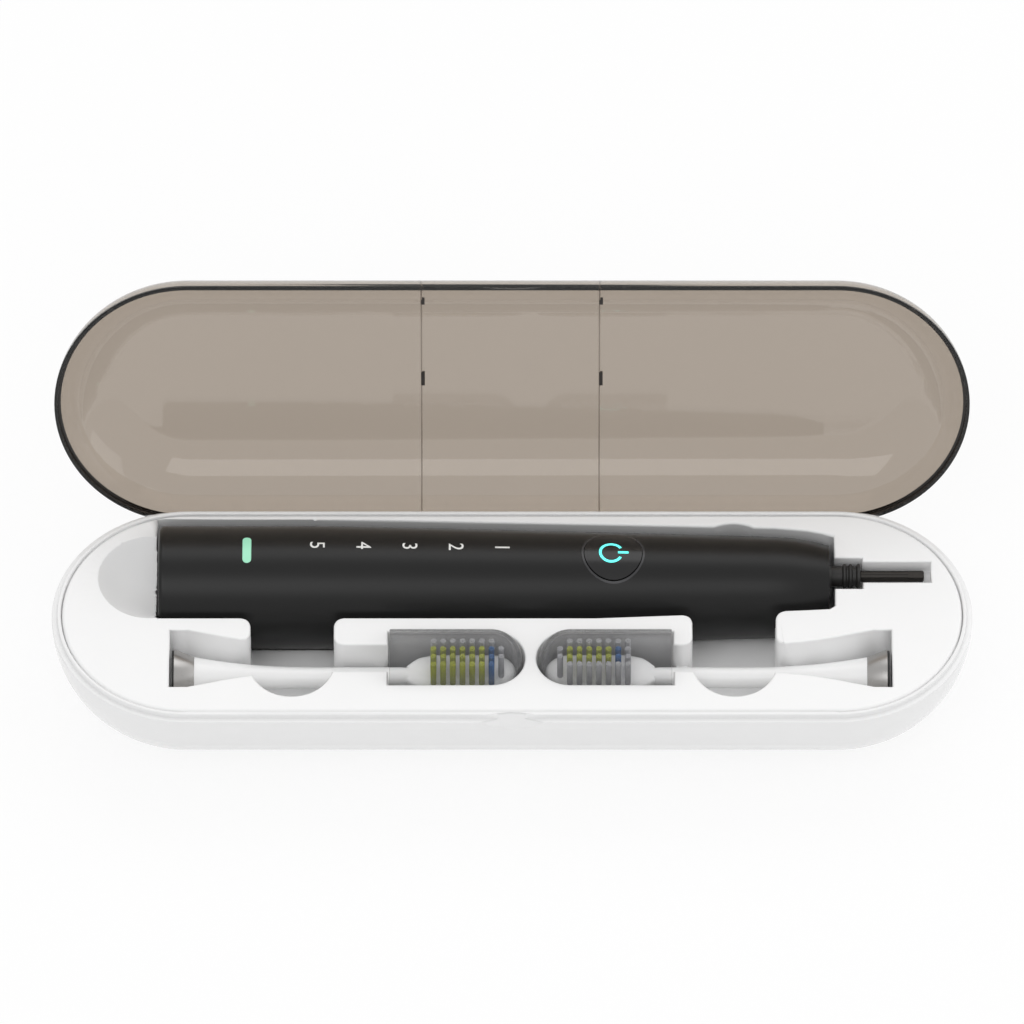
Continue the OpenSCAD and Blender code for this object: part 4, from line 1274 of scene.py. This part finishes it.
@dataclass
class Handle:
    """The grip with its printed mode numbers and its power mark."""

    taper: float = 2.1 * MM
    taper_start: float = 35.8 * MM
    taper_run: float = 90 * MM
    wall: float = 1.5 * MM
    cap_depth: float = 1.5 * MM
    spigot: float = 5.5 * MM
    tip_bore: float = 2.4 * MM
    number_size: float = 4.9 * MM
    number_pitch: float = 10.55 * MM
    numbers: int = 5
    first_number: float = 25.5 * MM
    mark_radius: float = 2.5 * MM
    mark_width: float = 0.62 * MM
    mark_gap: float = 62.0
    nose_run: float = 12 * MM
    nose_close: float = 1.7 * MM
    ink: float = 0.035 * MM
    proud: float = 0.3 * MM
    nose_radius: float = 28.2
    nose: tuple[Point, ...] = ((-14, 16.3), (-8.2, 12.8), (-3.8, 10.2))

    def __post_init__(self) -> None:
        """Reads the axes and the ends of the grip from the frame."""
        low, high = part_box("end_cap")
        self.tail = low.x
        self.radius = (high.z - low.z) / 2
        _, self.y, self.z = middle_of("end_cap")
        self.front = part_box("handle_shell")[1].x
        self.length = self.front - self.tail
        self.drive = middle_of("nose_collar")[2]
        self.button_x = middle_of("power_button")[0]
        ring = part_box("button_ring")
        self.bore = (ring[1].x - ring[0].x) / 2
        self.lens_low, self.lens_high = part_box("charge_lens")

    def grip_radius(self, x: float) -> float:
        """Gives the grip's radius.

        Args:
            x: the distance from the end cap.

        Returns:
            The radius.
        """
        share = max(0.0, x - self.taper_start) / self.taper_run
        close = max(0.0, x - self.length + self.nose_run) / self.nose_run
        return self.radius - self.taper * share**1.15 - self.nose_close * close**2

    def _solid(self, inset: float, start: float, end: float) -> Object:
        """Makes the grip's form, shrunk by an inset.

        Args:
            inset: how far its skin lies under the grip's.
            start: where it starts, counted from the end cap.
            end: where it ends.

        Returns:
            The solid.
        """
        count = 40
        stations = [start + (end - start) * i / count for i in range(count + 1)]
        body = [(self.tail + x, self.grip_radius(x) - inset) for x in stations]
        grip = lathe(
            [(self.tail + start, 0), *body, (self.tail + end, 0)], self.y, self.z, 128
        ).piece("grip")
        long, shrink = self.length / MM, inset / MM
        nose = [(-1, 0, 0), (-1, self.nose_radius, 0), (long - 32, self.nose_radius, 1)]
        nose += [(long + x, r - shrink, 1.6) for x, r in self.nose]
        nose += [(long - 1, 8.8 - shrink, 0.5), (long - shrink, 8.4 - shrink, 0.2)]
        nose += [(long - shrink, 0, 0)]
        outline = [(self.tail + x * MM, r * MM) for x, r in rounded(nose, 6)]
        work(grip, Cut.KEEP, lathe(outline, self.y, self.drive, 128))
        return grip

    def _pill(self) -> Draft:
        """Makes the tool that opens the charge light's window.

        Returns:
            The tool.
        """
        width = self.lens_high.x - self.lens_low.x + 0.1 * MM
        length = self.lens_high.y - self.lens_low.y + 0.1 * MM
        middle = (self.lens_low + self.lens_high) / 2
        reach, half = (length - width) / 2, width / 2
        rim = [
            (middle.x + half * math.cos(math.radians(angle)),
             middle.y + side * reach + half * math.sin(math.radians(angle)))
            for side, first in ((1, 0), (-1, 180))
            for angle in range(first, first + 181, 15)
        ]
        draft = Draft()
        draft.raise_plan(rim, self.z, self.z + self.radius * 1.5)
        draft.heal()
        return draft

    def grip(self) -> None:
        """Builds the hollow grip with its openings."""
        shell = self._solid(0, self.cap_depth, self.length)
        spigot_end = self.cap_depth + self.spigot
        hollow = self._solid(self.wall, spigot_end, self.length)
        seat = rod(self.tail - MM, self.tail + spigot_end + 0.1 * MM, self.y, self.z,
                   self.radius - self.wall - 0.1 * MM)
        tip = rod(self.front - 6 * MM, self.front + MM, self.y, self.drive, self.tip_bore)
        hole, bore = Draft(), self.bore + 0.02 * MM
        bmesh.ops.create_cone(
            hole.bm, cap_ends=True, segments=96, radius1=bore, radius2=bore, depth=10 * MM,
            matrix=Matrix.Translation((self.button_x, self.y, self.z + self.radius - MM)),
        )
        for tool in (reopened(hollow), seat, tip, hole, self._pill()):
            work(shell, Cut.REMOVE, tool)
        piece = reopened(shell).piece("grip_shell", 55)
        show(piece, "handle", HANDLE_BLACK, "handle_black", "handle_shell")

    def _lay(self, draft: Draft, lift: float) -> None:
        """Lays a flat draft on the round of the grip.

        Args:
            draft: the flat form, in its place in plan.
            lift: its height over the grip.
        """
        for vert in draft.bm.verts:
            radius = self.grip_radius(vert.co.x - self.tail) + lift
            across = vert.co.y - self.y
            vert.co.z = self.z + math.sqrt(radius**2 - across**2)

    def _slice(self, draft: Draft, step: float) -> None:
        """Cuts a flat draft into narrow strips so that it can bend.

        Args:
            draft: the flat form.
            step: the strips' width.
        """
        count = 28
        for i in range(-count, count + 1):
            bmesh.ops.bisect_plane(
                draft.bm, geom=[*draft.bm.verts, *draft.bm.edges, *draft.bm.faces],
                dist=0.0001 * MM, plane_co=(0, self.y + i * step, 0), plane_no=(0, 1, 0),
            )

    def _ink(self, draft: Draft, name: str, body: str, finish: Finish, lift: float) -> None:
        """Turns a flat draft into a thin layer of ink on the grip or the button.

        Args:
            draft: the flat form.
            name: the piece's name.
            body: the body that it rides on.
            finish: its finish.
            lift: the height of its surface over the grip.
        """
        self._slice(draft, 0.4 * MM)
        self._lay(draft, lift)
        draft.face_out()
        if sum(face.normal.z for face in draft.bm.faces) < 0:
            bmesh.ops.reverse_faces(draft.bm, faces=draft.bm.faces)
        piece = draft.piece(name)
        skin = piece.modifiers.new("ink", "SOLIDIFY")
        skin.thickness = 2 * self.ink
        skin.offset = -1.0
        show(piece, body, finish, "mint_lens")

    def numbers_and_mark(self) -> None:
        """Prints the mode numbers on the grip and the power mark on the button."""
        for i in range(self.numbers):
            draft = self._number(str(i + 1))
            x = self.button_x - self.first_number - i * self.number_pitch
            turn = Matrix.Rotation(math.radians(-90), 4, "Z")
            draft.move(Matrix.Translation((x, self.y + 1.2 * MM, 0)) @ turn)
            self._ink(draft, f"mode_number_{i + 1}", "handle", PRINT_WHITE, self.ink)
        # The power mark's ink carries a painted glow.
        self._ink(self._power_mark(), "power_mark", "button", MARK_CYAN_PAINTED_GLOW, self.proud + self.ink)

    def _number(self, text: str) -> Draft:
        """Draws one number flat, centred on the origin.

        Args:
            text: the number.

        Returns:
            The draft.
        """
        curve = bpy.data.curves.new("number", "FONT")
        curve.body = text
        curve.size = self.number_size
        curve.align_x = "CENTER"
        curve.align_y = "CENTER"
        obj = linked("number", curve)
        mesh = baked(obj)
        draft = Draft(mesh)
        bpy.data.objects.remove(obj)
        bpy.data.curves.remove(curve)
        bpy.data.meshes.remove(mesh)
        return draft

    def _power_mark(self) -> Draft:
        """Draws the open ring and the bar of the power mark."""
        draft = Draft()
        centre = (self.button_x - 0.45 * MM, self.y, 0)
        first, half = math.radians(self.mark_gap / 2), self.mark_width / 2
        spoke = draft.chain(
            (centre[0] + r * math.cos(first), centre[1] + r * math.sin(first), 0)
            for r in (self.mark_radius - half, self.mark_radius + half)
        )
        draft.spin(spoke, centre, (0, 0, 1), 360 - self.mark_gap, 44)
        start = centre[0] + self.mark_radius * 0.62
        edge = draft.chain([(start, self.y - half, 0), (start, self.y + half, 0)])
        draft.pull(edge, (2.4 * MM, 0, 0))
        return draft


# The brush heads ------------------------------------------------------------------------------


class Side(Enum):
    """Which way a brush head lies: its nose points to the middle of the case."""

    LEFT = "left"
    RIGHT = "right"

    @property
    def turn(self) -> int:
        """Gives 1 where the nose points along X, and -1 where it points back."""
        return 1 if self is Side.LEFT else -1


@dataclass
class BrushHead:
    """One brush head with its metal ring, its bristles and its clear cap."""

    side: Side
    ring_length: float = 4.6 * MM
    taper: float = 1.8 * MM
    seal: float = 0.5 * MM
    neck: float = 2.4 * MM
    flare: float = 28 * MM
    plate_length: float = 25 * MM
    plate_width: float = 10.6 * MM
    plate_thickness: float = 4.2 * MM
    plate_end: float = 1.6 * MM
    skin: float = 0.7 * MM
    bristle: float = 7.6 * MM
    gauge: float = 0.17 * MM
    root: float = 0.4 * MM
    tuft: float = 0.8 * MM
    pitch: float = 2.2 * MM
    columns: int = 8
    rows: int = 4
    cap_wall: float = 0.9 * MM
    socket: tuple[Point, ...] = (
        (7 * MM, 3.05 * MM), (14 * MM, 2.2 * MM), (21.8 * MM, 1.6 * MM),
    )

    def __post_init__(self) -> None:
        """Reads where the head and its cap lie from the frame."""
        self.name = name = self.side.value
        low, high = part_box(f"{name}_ring")
        self.ring = (high.z - low.z) / 2
        _, self.y, self.z = middle_of(f"{name}_ring")
        self.cap_low, self.cap_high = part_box(f"{name}_cap")
        self.cap_length = self.cap_high.x - self.cap_low.x
        self.cap_radius = (self.cap_high.y - self.cap_low.y) / 2
        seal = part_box(f"{name}_seal")
        left = self.side is Side.LEFT
        self.nose = self.cap_high.x if left else self.cap_low.x
        self.length = self.nose - seal[0].x if left else seal[1].x - self.nose
        self.foot = -self.length + self.seal

    def seat(self, draft: Draft) -> Draft:
        """Puts a draft with its nose at the origin and its ring towards -X in its place.

        Args:
            draft: the draft.

        Returns:
            The same draft, placed.
        """
        mirror = Matrix.Diagonal((self.side.turn, 1, 1, 1))
        draft.move(Matrix.Translation((self.nose, self.y, self.z)) @ mirror)
        return draft

    def body(self) -> None:
        """Builds the flare, the neck and the bristle plate as one moulding."""
        foot = self.foot
        shoulder = foot + self.ring_length
        plate_start = -self.plate_end - self.plate_length
        steps = 28
        flare = [
            (shoulder + self.flare * i / steps,
             self.neck + (self.ring - self.taper - self.neck) * max(0.0, 1 - i / steps) ** 2.2)
            for i in range(steps + 1)
        ]
        spigot = self.ring - self.taper - self.skin
        body = lathe(
            [(foot, 0), (foot, spigot), (shoulder, spigot), *flare,
             (plate_start - MM, self.neck), (plate_start + 4 * MM, self.neck - 0.5 * MM),
             (plate_start + 4 * MM, 0)], 0, 0, 64,
        ).piece("body")
        work(body, Cut.JOIN, self._plate())
        hole = [(foot - MM, 0)]
        start = foot - MM
        for depth, radius in self.socket:
            hole += [(start, radius), (foot + depth, radius)]
            start = foot + depth
        work(body, Cut.REMOVE, lathe([*hole, (start, 0)], 0, 0, 48))
        name = self.name
        piece = self.seat(reopened(body)).piece(f"{name}_brush_body", 34)
        show(piece, f"{name}_brush", HEAD_WHITE, "head_white", f"{name}_head")

    def _plate(self) -> Draft:
        """Makes the bristle plate with its round nose and soft edges."""
        half = self.plate_width / 2
        nose = -self.plate_end - half
        start = -self.plate_end - self.plate_length
        side = rounded([(start, self.neck - 0.3 * MM, 0), (start + 2.5 * MM, half - 0.9 * MM, MM),
                        (start + 6 * MM, half, 1.5 * MM), (nose, half, 0)], 4)
        tip = [(nose + half * math.cos(a), half * math.sin(a))
               for a in (math.radians(90 - 6 * i) for i in range(1, 30))]
        outline = side + tip + [(x, -y) for x, y in reversed(side)]
        draft = Draft()
        draft.raise_plan(outline, -self.plate_thickness / 2, self.plate_thickness / 2)
        draft.heal()
        draft.soften(
            lambda edge: abs(edge.verts[0].co.z - edge.verts[1].co.z) < 0.001 * MM
            and is_sharp(edge, 60),
            0.8 * MM, 4,
        )
        return draft

    def metal_ring(self) -> None:
        """Builds the conical metal ring with slightly broken edges."""
        foot, end = self.foot, self.foot + self.ring_length
        bore = self.ring - self.taper - self.skin + 0.02 * MM
        outline = rounded([
            (foot, bore, 0), (foot, self.ring, 0.18 * MM), (end, self.ring - self.taper, 0.15 * MM),
            (end, bore, 0), (foot, bore, 0),
        ], 3)
        name = self.name
        piece = self.seat(lathe(outline, 0, 0, 96)).piece(f"{name}_brush_ring")
        show(piece, f"{name}_brush", RING_METAL, "ring_metal", f"{name}_ring")

    def _tuft(self, draft: Draft, x: float, y: float, chance: random.Random) -> None:
        """Adds one tuft of thin bristles with rounded tips.

        Args:
            draft: the draft that it is added to.
            x: the tuft's place along the head.
            y: the tuft's place across it.
            chance: the source of the bristles' small differences.
        """
        gauge = self.gauge
        foot = self.plate_thickness / 2 - self.root
        spots = [(0.0, 0.0)]
        for ring, count in ((0.42, 6), (0.82, 12)):
            spots += [(ring * math.cos(math.tau * i / count), ring * math.sin(math.tau * i / count))
                      for i in range(count)]
        reach = self.tuft - gauge
        for across, up in spots:
            tip = self.bristle - chance.uniform(0, 0.22) * MM - 0.25 * MM * math.hypot(across, up)
            lean = Vector((chance.uniform(-0.05, 0.05) * MM, chance.uniform(-0.05, 0.05) * MM, 0))
            depth = tip + self.root
            place = Matrix.Translation((x + across * reach, y + up * reach, foot + depth / 2))
            made = bmesh.ops.create_cone(
                draft.bm, cap_ends=True, segments=6, radius1=gauge, radius2=gauge,
                depth=depth, matrix=place,
            )["verts"]
            crown = [vert for vert in made if vert.co.z > foot + tip / 2]
            bmesh.ops.translate(draft.bm, verts=crown, vec=lean)
            top = next(face for face in crown[0].link_faces
                       if all(vert in crown for vert in face.verts))
            bmesh.ops.inset_individual(
                draft.bm, faces=[top], thickness=gauge * 0.5, depth=gauge * 0.45)

    def bristles(self) -> None:
        """Plants the tufts by colour: yellow, then blue, then clear."""
        name = self.name
        last = self.columns - 1
        if self.side is Side.LEFT:
            plan = {"yellow": range(2, self.columns), "blue": (1,), "clear": (0,)}
        else:
            plan = {"yellow": range(1, last - 1), "blue": (last - 1,), "clear": (0, last)}
        rear = self.y + self.pitch
        front = self.y - (2 * self.pitch if self.side is Side.LEFT else self.pitch)
        tones = {
            "yellow": paint(158, 164, 8), "blue": paint(8, 84, 142), "clear": paint(168, 168, 172),
        }
        chance = random.Random(7)
        for tone, columns in plan.items():
            draft = Draft()
            for column in columns:
                for row in range(self.rows):
                    if column == 0 and row in (0, self.rows - 1):
                        continue
                    x = -self.plate_end - 3.4 * MM - column * self.pitch
                    y = (row - (self.rows - 1) / 2) * self.pitch
                    self._tuft(draft, x, y, chance)
            piece = self.seat(draft).piece(f"{name}_bristles_{tone}")
            finish = Bristle(f"{name}_bristle_{tone}", tones[tone], front, rear)
            show(piece, f"{name}_brush", finish, f"tuft_{tone}", f"{name}_tufts_{tone}")

    def cap(self) -> None:
        """Builds the clear cap: a round-topped tunnel with a round nose."""
        radius = self.cap_radius
        middle = self.cap_high.z - radius - self.z
        foot = self.cap_low.z - self.z
        draft = Draft()
        arc = quarter((0, middle), (radius, radius), 180, 90, 20)
        section = [*arc, (radius, foot)]
        edges = draft.chain((-radius, -across, up) for across, up in section)
        last = draft.spin(edges, (-radius, 0, 0), (0, 0, 1), 180, 48)
        draft.pull([*edges, *last], (radius - self.cap_length, 0, 0))
        draft.heal()
        bmesh.ops.solidify(draft.bm, geom=draft.bm.faces[:], thickness=self.cap_wall)
        draft.face_out()
        draft.soften(lambda edge: is_sharp(edge, 60), 0.18 * MM, 2)
        name = self.name
        piece = self.seat(draft).piece(f"{name}_cap_shell", 34)
        show(piece, f"{name}_cover", CAP_CLEAR, "cap_clear", f"{name}_cap")


# The studio -----------------------------------------------------------------------------------


@dataclass
class Studio:
    """The camera, the soft lights and the pale floor."""

    target: tuple[float, float, float] = (0.0, 21.05 * MM, 37.14 * MM)
    sight: tuple[float, float, float] = (0.0, -0.6313, 0.7755)
    distance: float = 3.3
    lens: float = 508.0
    floor_size: float = 12.0
    lit: tuple[float, float, float] = (0, 0, 0.02)
    room_light: float = 0.74
    floor_glow: float = 0.86

    def camera(self) -> None:
        """Aims the camera."""
        data = bpy.data.cameras.new("camera")
        data.lens = self.lens
        data.sensor_width = 36.0
        data.clip_end = 60.0
        sight = Vector(self.sight)
        obj = linked("camera", data)
        obj.location = Vector(self.target) + sight * self.distance
        obj.rotation_euler = (-sight).to_track_quat("-Z", "Y").to_euler()
        bpy.context.scene.camera = obj

    def lamp(self, name: str, spot: Iterable[float], size: Point, power: float) -> None:
        """Hangs one soft lamp that faces the case.

        Args:
            name: the lamp's name.
            spot: where it hangs.
            size: its width and height.
            power: its power in watts.
        """
        data = bpy.data.lights.new(name, "AREA")
        data.shape = "RECTANGLE"
        data.size, data.size_y = size
        data.energy = power
        obj = linked(name, data)
        obj.location = spot
        sight = Vector(self.lit) - Vector(spot)
        obj.rotation_euler = sight.to_track_quat("-Z", "Y").to_euler()

    def world(self) -> None:
        """Fills the room with even light and shows the camera a white backdrop."""
        world = bpy.data.worlds.new("room")
        bpy.context.scene.world = world
        graph = Graph(world)
        rays = {0: graph.ray("Camera"), 1: graph.ray("Transmission")}
        seen = graph.add("ShaderNodeMath", {"operation": "MAXIMUM"}, rays)
        room, backdrop = (
            graph.add("ShaderNodeBackground", {}, {"Color": WHITE, "Strength": strength})
            for strength in (self.room_light, 1.0)
        )
        graph.close(graph.add("ShaderNodeMixShader", {}, {0: seen, 1: room, 2: backdrop}), "World")

    def floor(self) -> None:
        """Lays the pale floor, which stays near white where nothing shades it."""
        draft = Draft()
        bmesh.ops.create_grid(draft.bm, x_segments=1, y_segments=1, size=self.floor_size / 2)
        obj = draft.piece("floor")
        pale = bpy.data.materials.new("floor_pale")
        graph = Graph(pale)
        tone = graph.blend(graph.noise(0.4, 2.0), paint(246, 246, 246), paint(250, 250, 250))
        matte = graph.add("ShaderNodeBsdfDiffuse", {}, {"Color": tone})
        glow = graph.add("ShaderNodeEmission", {}, {"Color": WHITE, "Strength": 1.0})
        seen = (graph.ray("Camera") + graph.ray("Glossy") + graph.ray("Transmission")).kept()
        mix = {0: seen * self.floor_glow, 1: matte, 2: glow}
        graph.close(graph.add("ShaderNodeMixShader", {}, mix))
        obj.data.materials.append(pale)

    def set_up(self) -> None:
        """Sets up the whole studio."""
        bpy.context.scene.view_settings.view_transform = "Standard"
        self.camera()
        self.world()
        self.floor()
        self.lamp("key_lamp", (-0.4, -1.1, 1.7), (1.6, 1.0), 6.0)
        self.lamp("back_lamp", (0.2, 1.3, 1.9), (2.4, 1.4), 11.0)
        self.lamp("side_lamp", (1.8, 0.2, 0.9), (1.8, 1.2), 5.0)


def main() -> None:
    """Builds the sub-assemblies in order and dresses every CAD node that stays."""
    logging.basicConfig(level=logging.INFO, format="%(name)s %(message)s")
    Studio().set_up()
    case = Case()
    case.base()
    case.tray()
    Lid().build()
    handle = Handle()
    handle.grip()
    handle.numbers_and_mark()
    for side in Side:
        head = BrushHead(side)
        head.body()
        head.metal_ring()
        head.bristles()
        head.cap()
    for finish, nodes in NODE_FINISHES.items():
        for node in nodes:
            finish.cover(frame["nodes"][node])
            LOG.info("%s: dressed as %s", node, finish.name)


if __name__ == "__main__":
    main()
